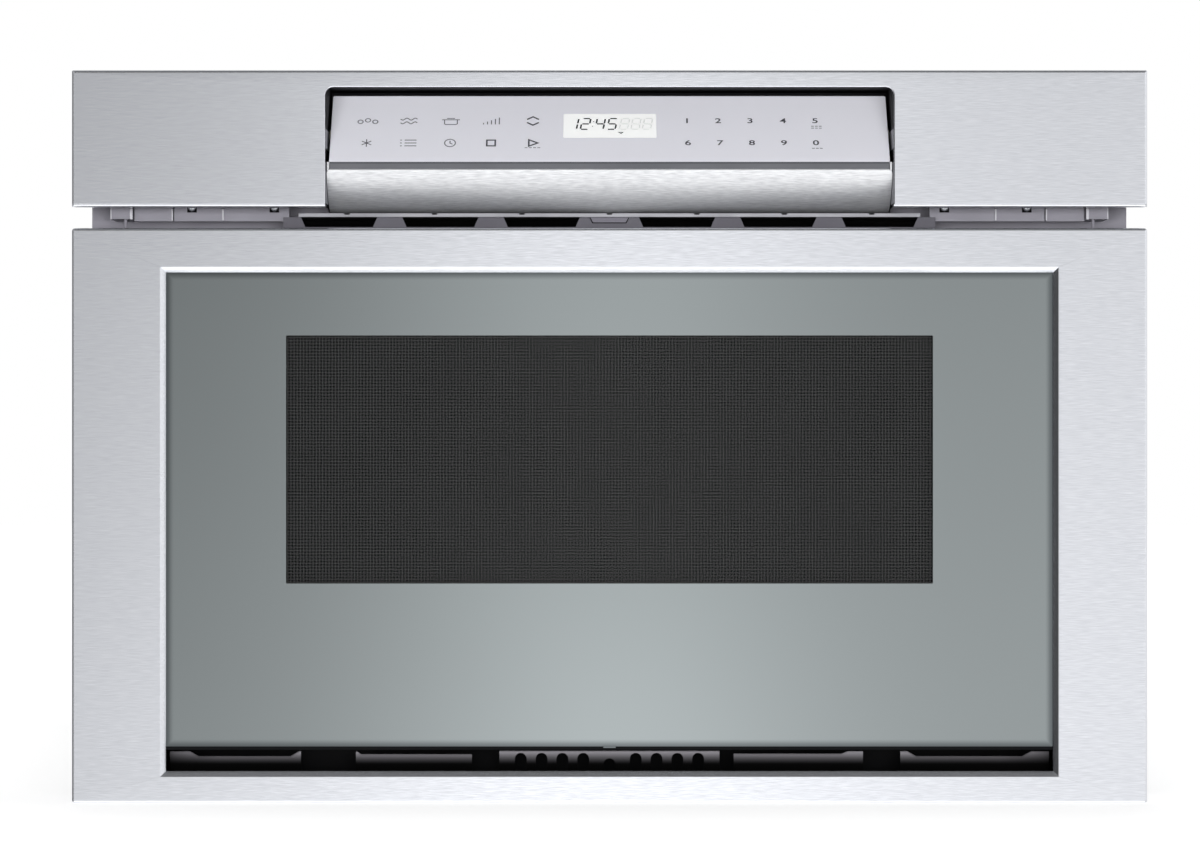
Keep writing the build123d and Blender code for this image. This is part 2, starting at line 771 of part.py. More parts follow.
def make_panel_pivots():
    """Two pivot pins; the left one carries the gear that the panel's motor turns."""
    axis_y = y_out(panel_axis_out)
    start = face_width / 2 - pivot_inset
    gear_end = -gear_x - panel_gear_face
    right = rod(pivot_radius, (start, axis_y, panel_axis_z),
                (liner_x + liner_wall + pivot_proud, axis_y, panel_axis_z), "X")
    left = rod(pivot_radius, (-start, axis_y, panel_axis_z), (gear_end, axis_y, panel_axis_z), "X")
    left += gear(gear_module, panel_gear_teeth, 90, axis_y, panel_axis_z, gear_end, -gear_x)
    return group(right, left)


def make_panel_pinion():
    """The pinion on the shaft of the panel's motor, in mesh with the gear on the pivot."""
    space_down = 270 + 180 / panel_pinion_teeth
    axis_y = y_out(panel_axis_out)
    gear_end = -gear_x - panel_gear_face
    wheel = gear(gear_module, panel_pinion_teeth, space_down, axis_y, panel_pinion_z, gear_end, -gear_x)
    shaft_end = gear_end - panel_motor_gap - panel_shaft_seat
    return wheel + rod(panel_motor_shaft, (shaft_end, axis_y, panel_pinion_z),
                       (-gear_x, axis_y, panel_pinion_z), "X")


def make_panel_motor():
    """A geared motor on two posts, above the panel's axis."""
    axis_y = y_out(panel_axis_out)
    near = -gear_x - panel_gear_face - panel_motor_gap
    case = rod(panel_motor_radius, (near - panel_motor_length, axis_y, panel_pinion_z),
               (near, axis_y, panel_pinion_z), "X")
    case -= rod(panel_motor_shaft + running_clearance, (near - panel_bore_seat, axis_y, panel_pinion_z),
                (near + past, axis_y, panel_pinion_z), "X")
    for side in (-1, 1):
        post_y = axis_y + side * panel_post_spacing / 2
        case += rod(panel_post_radius, (near - panel_post_seat, post_y, panel_pinion_z),
                    (-liner_x - liner_wall, post_y, panel_pinion_z), "X")
    return case


# ---- cavity and microwave parts ------------------------------------------------------------------
def make_cavity_shell():
    """The cooking cavity, open at the front, with holes for the stirrer's feed and the lamp."""
    outside = block(span(cavity_width + 2 * sheet), (cabinet_y, y_in(cavity_depth + sheet)),
                    (cavity_floor - sheet, cavity_ceiling + sheet))
    inside = block(span(cavity_width), (cabinet_y - past, y_in(cavity_depth)),
                   (cavity_floor, cavity_ceiling))
    shell = outside - inside
    shell -= rod(feed_hole, (0, y_in(stirrer_depth), cavity_ceiling - past),
                 (0, y_in(stirrer_depth), cavity_ceiling + sheet + past), "Z")
    shell -= rod(lamp_radius, (cavity_x - past, y_in(lamp_depth), lamp_z),
                 (cavity_x + sheet + past, y_in(lamp_depth), lamp_z), "X")
    return shell


def make_stirrer_cover():
    """The shallow moulded tray that hides the stirrer."""
    half_x, half_y = stirrer_cover_width / 2, stirrer_cover_length / 2
    wall = stirrer_cover_wall
    middle = y_in(stirrer_depth)
    low = cavity_ceiling - stirrer_cover_drop
    outside = block((-half_x, half_x), (middle - half_y, middle + half_y), (low, cavity_ceiling))
    inside = block((-half_x + wall, half_x - wall), (middle - half_y + wall, middle + half_y - wall),
                   (low + wall, cavity_ceiling + past))
    return outside - inside


def make_stirrer():
    """A slotted disc on a shaft that hangs from its motor through the waveguide."""
    middle = y_in(stirrer_depth)
    high = cavity_ceiling - stirrer_drop
    disc = rod(stirrer_radius, (0, middle, high - stirrer_plate_thick), (0, middle, high), "Z")
    slot = Pos(stirrer_slot_radius, 0, 0) * Box(*stirrer_slot_size, 2 * stirrer_plate_thick + past)
    for index in range(stirrer_slots):
        turn = Rot(0, 0, (index + 0.5) * 360 / stirrer_slots)
        disc -= Pos(0, middle, high - stirrer_plate_thick / 2) * turn * slot
    shaft = rod(stirrer_shaft, (0, middle, high), (0, middle, waveguide_top + stirrer_shaft_seat), "Z")
    return disc + shaft


def make_stirrer_motor():
    """The stirrer's motor, on the waveguide."""
    middle = y_in(stirrer_depth)
    case = rod(stirrer_motor_radius, (0, middle, waveguide_top),
               (0, middle, waveguide_top + stirrer_motor_height), "Z")
    return case - rod(stirrer_shaft + running_clearance, (0, middle, waveguide_top - past),
                      (0, middle, waveguide_top + stirrer_shaft_seat + seat_spare), "Z")


def make_waveguide():
    """The closed duct that carries microwaves from the magnetron to the stirrer."""
    half = waveguide_width / 2
    y_range = (y_in(waveguide_start), y_in(waveguide_start + waveguide_length))
    outside = block((-half, half), y_range, (waveguide_low, waveguide_top))
    inside = block((-half + sheet, half - sheet), (y_range[0] + sheet, y_range[1] - sheet),
                   (waveguide_low + sheet, waveguide_top - sheet))
    tube = outside - inside
    under, over = waveguide_low - past, waveguide_low + sheet + past
    for radius, depth in ((feed_hole, stirrer_depth), (antenna_radius + past, magnetron_depth)):
        tube -= rod(radius, (0, y_in(depth), under), (0, y_in(depth), over), "Z")
    return tube - rod(stirrer_shaft + past, (0, y_in(stirrer_depth), waveguide_top - sheet - past),
                      (0, y_in(stirrer_depth), waveguide_top + past), "Z")


def make_magnetron():
    """A yoke with cooling fins, a filter box below and the antenna that reaches into the waveguide."""
    wide, deep, high = magnetron_size
    feed_y = y_in(magnetron_depth)
    top, bottom = waveguide_low, waveguide_low - high
    inner_x_span = span(wide - 2 * yoke_thick)
    body = block(span(wide), span(deep, feed_y), (bottom, top))
    body -= block(inner_x_span, span(2 * deep, feed_y), (bottom + yoke_thick, top - yoke_thick))
    body += rod(anode_radius, (0, feed_y, bottom + yoke_thick), (0, feed_y, top - yoke_thick), "Z")
    for index in range(fin_count):
        fin_z = bottom + fin_first + fin_pitch * index
        body += block(inner_x_span, span(deep - 2 * fin_inset, feed_y), (fin_z, fin_z + fin_thick))
    body += rod(antenna_radius, (0, feed_y, top - yoke_thick), (0, feed_y, top + antenna_height), "Z")
    box_x, box_y = span(wide - 2 * filter_box_inset[0]), span(deep - 2 * filter_box_inset[1], feed_y)
    return body + block(box_x, box_y, (bottom - filter_box_height, bottom))


def make_hv_transformer():
    """A laminated core with two windows, and the coil round its middle leg."""
    wide, deep, high = transformer_size
    middle = y_in(transformer_depth)
    core = block(span(wide, transformer_x), span(deep, middle), (sheet, sheet + high))
    window_z = (sheet + core_leg, sheet + high - core_leg)
    window_end = core_leg + coil_thick + 2 * coil_clearance
    for side in (-1, 1):
        window_x = sorted((transformer_x + side * core_leg, transformer_x + side * window_end))
        core -= block(window_x, span(2 * deep, middle), window_z)
    coil_z = (window_z[0] + coil_clearance, window_z[1] - coil_clearance)
    coil_width = 2 * (core_leg + coil_thick + coil_clearance)
    coil = block(span(coil_width, transformer_x), span(deep + 2 * coil_thick, middle), coil_z)
    coil -= block(span(2 * (core_leg + coil_seat), transformer_x), span(deep + 2 * coil_seat, middle),
                  (coil_z[0] - past, coil_z[1] + past))
    return group(core, coil)


def make_hv_capacitor():
    """A round can with two flat terminals."""
    middle = y_in(transformer_depth)
    top = sheet + capacitor_height
    wide, thick, high = terminal_size
    can = rod(capacitor_radius, (capacitor_x, middle, sheet), (capacitor_x, middle, top), "Z")
    for side in (-1, 1):
        place = capacitor_x + side * terminal_spacing / 2
        can += block(span(wide, place), span(thick, middle), (top, top + high))
    return can


def make_fan_shroud():
    """A square frame on the rear panel, round the fan, with three arms that hold its motor."""
    half = fan_frame / 2
    back = rear_y - sheet
    front = back - fan_frame_depth
    frame = block((fan_x - half, fan_x + half), (front, back), (fan_z - half, fan_z + half))
    frame -= rod(fan_radius + fan_tip_gap, (fan_x, front - past, fan_z), (fan_x, back + past, fan_z), "Y")
    for index in range(fan_arms):
        turn = Pos(fan_x, front + fan_arm_size[1] / 2, fan_z) * Rot(0, 360 / fan_arms * index + 90, 0)
        frame += turn * Pos(fan_arm_radius, 0, 0) * Box(*fan_arm_size)
    return frame


def make_fan_motor():
    """The fan's motor, in the middle of the frame's arms."""
    front = rear_y - sheet - fan_frame_depth
    back = front + fan_motor_reach[1]
    case = rod(fan_hub_radius, (fan_x, front - fan_motor_reach[0], fan_z), (fan_x, back, fan_z), "Y")
    return case - rod(fan_shaft + running_clearance, (fan_x, back - fan_shaft_bore, fan_z),
                      (fan_x, back + past, fan_z), "Y")


def make_cooling_fan():
    """A hub with pitched blades on the motor's shaft."""
    front = rear_y - sheet - fan_frame_depth + fan_hub_start
    middle = front + fan_hub_length / 2
    fan = rod(fan_hub_radius, (fan_x, front, fan_z), (fan_x, front + fan_hub_length, fan_z), "Y")
    blade_length = fan_radius - fan_hub_radius + fan_tip_gap
    blade = (Pos(fan_radius - (blade_length + past) / 2 - past / 2, 0, 0) * Rot(fan_blade_pitch, 0, 0)
             * Box(blade_length, fan_blade_thick, fan_blade_chord))
    for index in range(fan_blades):
        fan += Pos(fan_x, middle, fan_z) * Rot(0, 360 / fan_blades * index, 0) * blade
    return fan + rod(fan_shaft, (fan_x, front - fan_shaft_seat, fan_z), (fan_x, front + past, fan_z), "Y")


def make_power_board():
    """The supply and relay board, on posts over the cavity."""
    wide, deep = board_size
    low = cavity_ceiling + sheet
    middle = y_in(board_depth)
    under = low + board_lift
    over = under + board_thick
    parts = [block(span(wide, board_x), span(deep, middle), (under, over))]
    for x_side in (-1, 1):
        for y_side in (-1, 1):
            post_x = board_x + x_side * (wide / 2 - board_post_inset)
            post_y = middle + y_side * (deep / 2 - board_post_inset)
            parts.append(rod(board_post_radius, (post_x, post_y, low), (post_x, post_y, under), "Z"))
    for index, (part_wide, part_deep, part_high) in enumerate(board_parts):
        place = board_x + board_part_first + board_part_pitch * index
        parts.append(block(span(part_wide, place), span(part_deep, middle), (over, over + part_high)))
    return group(*parts)


def make_cord_gland():
    """The bushed inlet of the mains cord."""
    start, end = rear_y - sheet - gland_inward, rear_y + gland_proud
    flange_end = rear_y + gland_flange_thick
    gland = rod(gland_body, (gland_x, start, gland_z), (gland_x, end, gland_z), "Y")
    gland += rod(gland_flange, (gland_x, rear_y, gland_z), (gland_x, flange_end, gland_z), "Y")
    return gland - rod(gland_bore, (gland_x, start - past, gland_z), (gland_x, end + past, gland_z), "Y")


def make_cavity_lamp():
    """The lamp's case on the cavity's side, and its bulb behind the hole."""
    wall = cavity_x + sheet
    middle = y_in(lamp_depth)
    bore_end = wall + lamp_case_bore
    size = lamp_case_size
    case = block((wall, wall + size), span(size, middle), span(size, lamp_z))
    case -= rod(lamp_radius, (wall - past, middle, lamp_z), (bore_end, middle, lamp_z), "X")
    bulb = rod(lamp_radius - bulb_gap, (wall + bulb_start, middle, lamp_z), (bore_end, middle, lamp_z), "X")
    return group(case, bulb)


def make_interlock_switches():
    """The switch blocks behind the flange, with the pockets that the hooks enter."""
    hook_x = -hook_spacing / 2
    wide, deep, high = switch_case
    pocket_width, pocket_height = (size + 2 * switch_pocket_gap for size in hook_size)
    case = block(span(wide, hook_x), (cabinet_y, y_in(deep)), span(high, hook_z))
    case -= block(span(pocket_width, hook_x), (cabinet_y - past, y_in(hook_reach + switch_pocket_spare)),
                  span(pocket_height, hook_z))
    return both_sides(case)


# ---- rails and drive -----------------------------------------------------------------------------
def channel(inset, width, bottom, height, opens_inwards, depths):
    """A rail member on the right side: a web and two lips, inset from the side of the chassis."""
    x_high = inner_x - inset
    x_low = x_high - width
    y_range = (y_in(depths[0]), y_in(depths[1]))
    member = block((x_low, x_high), y_range, (bottom, bottom + height))
    hollow_x = (x_low - past, x_high - rail_wall) if opens_inwards else (x_low + rail_wall, x_high + past)
    return member - block(hollow_x, (y_range[0] - past, y_range[1] + past),
                          (bottom + rail_wall, bottom + height - rail_wall))


def make_rail_outer():
    """The rail member fixed to the chassis."""
    return channel(0, rail_outer_width, rail_bottom, rail_height, True, rail_depths)


def make_rail_middle():
    """The floating member between the fixed and the moving one."""
    step = rail_wall + rail_gap
    return channel(rail_middle_inset, rail_middle_width, rail_bottom + step, rail_height - 2 * step, True,
                   rail_depths)


def make_rail_inner():
    """The moving member, which carries the drawer front on its end."""
    step = 2 * (rail_wall + rail_gap)
    return channel(rail_inner_inset, rail_width - rail_inner_inset, rail_bottom + step,
                   rail_height - 2 * step, False, (-back_panel_out, rail_depths[1]))


def make_drawer_cross_bar():
    """The bar that ties the rear ends of the moving rails and of the rack."""
    half = inner_x - rail_width
    y_range = (y_in(cross_bar_depth), y_in(cross_bar_depth + cross_bar_thick))
    return block((-half, half), y_range, (rack_top, rack_top + cross_bar_height))


def make_drive_rack():
    """A toothed bar under the drawer, with its teeth downwards."""
    pitch = math.pi * rack_module
    lean = math.tan(math.radians(pressure_angle))
    tip_z = rack_pitch_z - tooth_addendum * rack_module
    root_z = rack_pitch_z + tooth_dedendum * rack_module
    half_tip = pitch / 4 - tooth_play - tooth_addendum * rack_module * lean
    half_root = pitch / 4 - tooth_play + tooth_dedendum * rack_module * lean
    first = -int(rack_spare / pitch) - 1
    last = int((drawer_travel + rack_spare) / pitch) + 2
    outline = []
    for index in range(first, last):
        middle = y_in(pinion_depth) + (index + 0.5) * pitch
        outline += [(middle - half_root, root_z), (middle - half_tip, tip_z),
                    (middle + half_tip, tip_z), (middle + half_root, root_z)]
    front = y_out(back_panel_out)
    back = y_in(cross_bar_depth + cross_bar_thick)
    outline = [(front, root_z)] + outline + [(back, root_z), (back, rack_top), (front, rack_top)]
    return side_profile(outline, -rack_teeth_face / 2, rack_teeth_face / 2)


def make_drive_gear():
    """Rack pinion and wheel on one shaft."""
    axis_y = y_in(pinion_depth)
    half = rack_teeth_face / 2
    pinion = gear(rack_module, pinion_teeth, 90, axis_y, pinion_height, -half, half)
    wheel = gear(gear_module, wheel_teeth, 0, axis_y, pinion_height, *wheel_x)
    shaft = rod(drive_shaft, (bracket_left_x[0] - drive_shaft_proud, axis_y, pinion_height),
                (bracket_right_x[1] + drive_shaft_proud, axis_y, pinion_height), "X")
    return pinion + shaft + wheel


def make_motor_gear():
    """The small gear on the motor's shaft."""
    axis_y = y_in(motor_depth)
    wheel = gear(gear_module, motor_teeth, 180 + 180 / motor_teeth, axis_y, pinion_height, *wheel_x)
    return wheel + rod(motor_shaft, (wheel_x[0], axis_y, pinion_height),
                       (bracket_right_x[1] + motor_shaft_seat, axis_y, pinion_height), "X")


def make_drive_bracket():
    """Two plates that stand on the base and hold the drive shaft."""
    plates = []
    bores = ((drive_shaft + running_clearance, pinion_depth), (motor_shaft + motor_shaft_gap, motor_depth))
    for x_range in (bracket_left_x, bracket_right_x):
        plate = block(x_range, (y_in(pinion_depth - bracket_front), y_in(motor_depth + bracket_rear)),
                      (sheet, pinion_height + bracket_rise))
        for radius, depth in bores:
            plate -= rod(radius, (x_range[0] - past, y_in(depth), pinion_height),
                         (x_range[1] + past, y_in(depth), pinion_height), "X")
        plates.append(plate)
    return group(*plates)


def make_drive_motor():
    """The drawer's geared motor, on the bracket's right plate."""
    axis_y = y_in(motor_depth)
    near = bracket_right_x[1]
    case = rod(drive_motor_radius, (near, axis_y, pinion_height),
               (near + drive_motor_length, axis_y, pinion_height), "X")
    return case - rod(motor_shaft + running_clearance, (near - past, axis_y, pinion_height),
                      (near + motor_bore_seat, axis_y, pinion_height), "X")


# ---- drawer body ---------------------------------------------------------------------------------
def make_drawer_box():
    """The open-topped pan; its front wall has the window that the user looks through."""
    front = y_out(flange_thick + choke_gap)
    back = y_in(tray_length)
    outside = block((-tray_x, tray_x), (front, back), (tray_floor, tray_floor + tray_height))
    inside = block((-tray_x + tray_wall, tray_x - tray_wall), (front + tray_wall, back - tray_wall),
                   (tray_floor + tray_wall, tray_floor + tray_height + past))
    window = block(span(choke_opening_width), (front - past, front + tray_wall + past),
                   (mesh_middle - choke_opening_height / 2, tray_floor + tray_height + past))
    return outside - inside - window


def make_tray_plate():
    """The glass-ceramic plate that the dishes stand on."""
    half = tray_x - tray_wall - plate_margin
    front = y_out(flange_thick + choke_gap) + tray_wall + plate_margin
    back = y_in(tray_length) - tray_wall - plate_margin
    low = tray_floor + tray_wall
    plate = block((-half, half), (front, back), (low, low + plate_thick))
    return fillet(plate.edges().filter_by(Axis.Z), plate_corner)


# ---- drawer front --------------------------------------------------------------------------------
def make_door_frame():
    """The stainless front with its bevelled window, and the sides folded back."""
    half = front_width / 2
    outside = block((-half, half), (front_y, y_out(return_out)), (door_low, door_top))
    outside = fillet(outside.edges().filter_by(Axis.Y), corner_round)
    inside = block((-half + frame_wall, half - frame_wall), (front_y + frame_face, cabinet_y),
                   (door_low + frame_wall, door_top - frame_wall))
    opening_half = window_width / 2 - window_bevel
    opening = block((-opening_half, opening_half), (front_y - past, cabinet_y),
                    (window_low + window_bevel, window_top - window_bevel))
    pan = outside - inside - opening
    rim = pan.faces().sort_by(Axis.Y)[0].inner_wires()[0].edges()
    return chamfer(rim, window_bevel)


def mesh_window(margin, y_low, y_high):
    """The stretch of the mesh window, widened by a margin."""
    return block((-mesh_width / 2 - margin, mesh_width / 2 + margin), (y_low, y_high),
                 (mesh_middle - mesh_height / 2 - margin, mesh_middle + mesh_height / 2 + margin))


def make_door_glass():
    """The half-mirrored pane behind the frame."""
    return block((-glass_half, glass_half), (glass_face, glass_back), (glass_low, glass_top))


def make_glass_gasket():
    """The soft frame between the pane and the plate behind it."""
    outside = block((-glass_half, glass_half), (glass_back, gasket_back), (glass_low, glass_top))
    return outside - block((-glass_half + gasket_width, glass_half - gasket_width),
                           (glass_back - past, gasket_back + past),
                           (glass_low + gasket_width, glass_top - gasket_width))


def make_mesh_screen():
    """The perforated plate behind the glass; its holes are too fine to model one by one."""
    return mesh_window(mesh_border, gasket_back - mesh_thick, gasket_back)


def make_door_inner_panel():
    """The plate that carries glass and mesh, with walls round the window back to the rear sheet."""
    half = inner_panel_width / 2
    plate = block((-half, half), (gasket_back, mesh_back), (glass_low, glass_top + inner_panel_rise))
    back = y_out(back_panel_out + sheet)
    walls = mesh_window(sheet, mesh_back, back)
    return plate + walls - mesh_window(0, gasket_back - past, back + past)


def make_door_back_panel():
    """The rear sheet of the drawer front."""
    half = front_width / 2 - frame_wall
    y_range = (y_out(back_panel_out + sheet), y_out(back_panel_out))
    panel = block((-half, half), y_range, (door_low + frame_wall, door_top - frame_wall))
    return panel - mesh_window(0, y_range[0] - past, y_range[1] + past)


def make_choke_cover():
    """The ring that traps microwaves against the flange."""
    half_x, half_z = choke_width / 2, choke_height / 2
    middle = cavity_floor + cavity_height / 2
    y_range = (y_out(back_panel_out), y_out(flange_thick + choke_gap))
    ring = block((-half_x, half_x), y_range, (middle - half_z, middle + half_z))
    opening = block(span(choke_opening_width), (y_range[0] - past, y_range[1] + past),
                    span(choke_opening_height, mesh_middle))
    return ring - opening


def make_inner_window():
    """The pane on the cavity side of the mesh window."""
    y_range = (y_out(back_panel_out), y_out(back_panel_out - pane_thick))
    return block(span(choke_opening_width), y_range, span(choke_opening_height, mesh_middle))


def make_door_vent_plate():
    """The painted plate in the air inlet: five upright tabs, the middle one with arched holes."""
    y_range = (y_out(vent_tab_out), y_out(vent_tab_out) + vent_plate_thick)
    foot_z = door_low + frame_wall
    half = window_width / 2
    radius = vent_hole_width / 2
    plate = block((-half, half), y_range, (foot_z, window_low))
    plate += block((-half, half), (y_range[0], y_range[0] + vent_foot), (foot_z, foot_z + vent_plate_thick))
    for low, high in vent_tabs:
        plate += block((low, high), y_range, (window_low, vent_tab_top))
    for index in range(-vent_holes_a_side, vent_holes_a_side + 1):
        middle = index * vent_hole_pitch
        arch = vent_tab_top - radius - (vent_hole_drop if index else vent_middle_drop)
        plate -= block((middle - radius, middle + radius), (y_range[0] - past, y_range[1] + past),
                       (window_low + past, arch))
        plate -= rod(radius, (middle, y_range[0] - past, arch), (middle, y_range[1] + past, arch), "Y")
    return plate


def make_door_trim_strip():
    """The dark strip under the lower edge of the glass."""
    return block((-glass_half, glass_half), (glass_face, gasket_back),
                 (glass_low - trim_strip_height, glass_low))


def make_latch_hooks():
    """The hooks that work the interlock switches when the drawer is shut."""
    hook_x = -hook_spacing / 2
    wide, high = hook_size
    notch_y = (y_in(hook_reach - hook_notch[1]), y_in(hook_reach - hook_notch[0]))
    hook = block(span(wide, hook_x), (y_out(back_panel_out), y_in(hook_reach)), span(high, hook_z))
    hook -= block(span(2 * wide, hook_x), notch_y, (hook_z, hook_z + high))
    return both_sides(hook)


def make_door_screws():
    """The screws that hold the drawer front's rear sheet to its folded sides."""
    start, end = y_out(back_panel_out), y_out(back_panel_out - screw_head_high)
    heights = [door_low + place * door_height for place in door_screw_places]
    heads = [rod(screw_head, (door_screw_x, start, height), (door_screw_x, end, height), "Y")
             for height in heights]
    return both_sides(group(*heads))


parts = {
    "base_plate": make_base_plate(),
    "outer_wrap": make_outer_wrap(),
    "rear_panel": make_rear_panel(),
    "front_flange": make_front_flange(),
    "exhaust_grille": make_exhaust_grille(),
    "air_deflector": make_air_deflector(),
    "fascia_mounts": make_fascia_mounts(),
    "alignment_brackets": make_alignment_brackets(),
    "chassis_screws": make_chassis_screws(),
    "fascia": make_fascia(),
    "recess_liner": make_recess_liner(),
    "panel_motor": make_panel_motor(),
    "cavity_shell": make_cavity_shell(),
    "stirrer_cover": make_stirrer_cover(),
    "stirrer_motor": make_stirrer_motor(),
    "waveguide": make_waveguide(),
    "magnetron": make_magnetron(),
    "hv_transformer": make_hv_transformer(),
    "hv_capacitor": make_hv_capacitor(),
    "fan_shroud": make_fan_shroud(),
    "fan_motor": make_fan_motor(),
    "power_board": make_power_board(),
    "cord_gland": make_cord_gland(),
    "cavity_lamp": make_cavity_lamp(),
    "rail_outer_left": mirrored(make_rail_outer()),
    "rail_outer_right": make_rail_outer(),
    "drive_bracket": make_drive_bracket(),
    "drive_motor": make_drive_motor(),
    "interlock_switches": make_interlock_switches(),
    "cooling_fan": make_cooling_fan(),
    "stirrer": make_stirrer(),
    "drive_gear": make_drive_gear(),
    "motor_gear": make_motor_gear(),
    "panel_pinion": make_panel_pinion(),
    "rail_middle_left": mirrored(make_rail_middle()),
    "rail_middle_right": make_rail_middle(),
    "rail_inner_left": mirrored(make_rail_inner()),
    "rail_inner_right": make_rail_inner(),
    "drawer_cross_bar": make_drawer_cross_bar(),
    "drive_rack": make_drive_rack(),
    "drawer_box": make_drawer_box(),
    "tray_plate": make_tray_plate(),
    "door_frame": make_door_frame(),
    "door_glass": make_door_glass(),
    "glass_gasket": make_glass_gasket(),
    "mesh_screen": make_mesh_screen(),
    "door_inner_panel": make_door_inner_panel(),
    "door_back_panel": make_door_back_panel(),
    "choke_cover": make_choke_cover(),
    "inner_window": make_inner_window(),
    "door_vent_plate": make_door_vent_plate(),
    "door_trim_strip": make_door_trim_strip(),
    "latch_hooks": make_latch_hooks(),
    "door_screws": make_door_screws(),
    "panel_housing": make_panel_housing(),
    "panel_face": make_panel_face(),
    "display_window": make_display_window(),
    "panel_cover": make_panel_cover(),
    "control_board": make_control_board(),
    "panel_pivots": make_panel_pivots(),
}

os.makedirs("parts", exist_ok=True)
for name, shape in parts.items():
    export_step(shape, f"parts/{name}.step")
    print(f"{name}: {len(shape.solids())} solids, {shape.volume:.0f} mm3")
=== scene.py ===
"""Looks of a built-in microwave drawer in stainless steel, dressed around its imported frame.

The axes are the frame's own: +X to the user's right, -Y towards the user and +Z up. The object's sizes
are in millimetres and turned to metres by MM; those of the stage around it are in metres.
"""

import logging
import math
from dataclasses import dataclass, field
from enum import Enum

import bmesh
import bpy
import numpy as np
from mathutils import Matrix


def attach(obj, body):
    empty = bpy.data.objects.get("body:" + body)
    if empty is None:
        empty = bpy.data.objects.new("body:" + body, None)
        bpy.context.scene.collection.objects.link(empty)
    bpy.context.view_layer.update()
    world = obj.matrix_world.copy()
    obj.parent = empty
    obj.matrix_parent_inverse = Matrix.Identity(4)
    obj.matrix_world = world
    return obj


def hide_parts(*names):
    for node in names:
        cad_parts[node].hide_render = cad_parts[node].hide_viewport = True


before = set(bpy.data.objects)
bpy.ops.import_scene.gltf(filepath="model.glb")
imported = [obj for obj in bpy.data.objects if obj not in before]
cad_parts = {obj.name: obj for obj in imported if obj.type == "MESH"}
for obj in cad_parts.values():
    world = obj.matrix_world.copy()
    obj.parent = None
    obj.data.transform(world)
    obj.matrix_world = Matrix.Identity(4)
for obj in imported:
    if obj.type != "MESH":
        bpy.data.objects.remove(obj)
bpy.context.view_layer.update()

MM = 0.001
SHARPEST = 9                      # a rounded end's smallest corner is this share of its radius
WELD = 1e-7                       # points nearer than this are one
BUMP = 0.5                        # how strongly a pattern's height turns the surface
log = logging.getLogger("microwave_drawer")


# ---- small tools for meshes ---------------------------------------------------------------------
class Plane(Enum):
    """Where a flat outline lies: the axes of its two directions, and then the axis of its depth."""

    FRONT = (0, 2, 1)
    TOP = (0, 1, 2)
    SIDE = (1, 2, 0)


@dataclass
class Shell:
    """One surface: its points, its four-sided faces and the flat caps that close it."""

    points: np.ndarray
    quads: np.ndarray
    caps: list[np.ndarray] = field(default_factory=list)

    def mirrored(self) -> "Shell":
        """The same surface on the other side of the middle plane X = 0."""
        return Shell(self.points * np.array([-1.0, 1.0, 1.0]), self.quads, self.caps)


def lay(flat: np.ndarray, depth: float | np.ndarray, plane: Plane) -> np.ndarray:
    """Puts the two columns of a flat outline and a depth on the axes that a plane names.

    Args:
        flat: Points of the outline, one row each.
        depth: The third coordinate, one for all points or one for each.
        plane: The axes that they follow.

    Returns:
        The points in space, one row each.
    """
    points = np.zeros((len(flat), 3))
    points[:, plane.value[0]] = flat[:, 0]
    points[:, plane.value[1]] = flat[:, 1]
    points[:, plane.value[2]] = depth
    return points


def grid_quads(rows: int, columns: int, closed_rows: bool = False,
               closed_columns: bool = False) -> np.ndarray:
    """Joins a grid of points by quads; point (r, c) is number r * columns + c.

    Args:
        rows: How many rows the grid has.
        columns: How many points a row has.
        closed_rows: Whether the last row joins the first.
        closed_columns: Whether the end of a row joins its start.

    Returns:
        Four point numbers for each quad.
    """
    row, column = np.meshgrid(np.arange(rows if closed_rows else rows - 1),
                              np.arange(columns if closed_columns else columns - 1), indexing="ij")
    after, beside = (row + 1) % rows, (column + 1) % columns
    corners = [row * columns + column, after * columns + column,
               after * columns + beside, row * columns + beside]
    return np.stack(corners, axis=-1).reshape(-1, 4)


def skin(rings: list[np.ndarray], closed: bool = False, open_rings: bool = False) -> Shell:
    """A surface through a row of rings: point (s, t) is place t on ring s, with straight runs between rings.

    Args:
        rings: Arrays of points, all equally long.
        closed: Whether the last ring joins the first, as on a picture frame.
        open_rings: Whether the rings are open paths.

    Returns:
        The surface, closed by flat caps on its first and last ring, or on both ends of joined open rings.
    """
    rows, columns = len(rings), len(rings[0])
    quads = grid_quads(rows, columns, closed, not open_rings)
    caps = []
    if not closed:
        caps = [np.arange(columns)[::-1], np.arange(columns) + (rows - 1) * columns]
    elif open_rings:
        caps = [np.arange(rows) * columns, (np.arange(rows) * columns + columns - 1)[::-1]]
    return Shell(np.concatenate(rings), quads, caps)


def rounded_outline(low: tuple[float, float], high: tuple[float, float], radius: float,
                    steps: int = 5) -> np.ndarray:
    """A rectangle with round corners: each corner is a quarter circle about a centre one radius inside.

    Args:
        low: Its lower left corner.
        high: Its upper right corner.
        radius: The corners' radius.
        steps: Points on each corner.

    Returns:
        The outline's points, counted from the upper right corner round to the left.
    """
    turn = np.linspace(0, math.pi / 2, steps)
    quarter = np.arange(4)[:, None] * math.pi / 2 + turn[None, :]
    side_a = np.array([high[0] - radius, low[0] + radius, low[0] + radius, high[0] - radius])[:, None]
    side_b = np.array([high[1] - radius, high[1] - radius, low[1] + radius, low[1] + radius])[:, None]
    return np.stack([side_a + radius * np.cos(quarter), side_b + radius * np.sin(quarter)], -1).reshape(-1, 2)


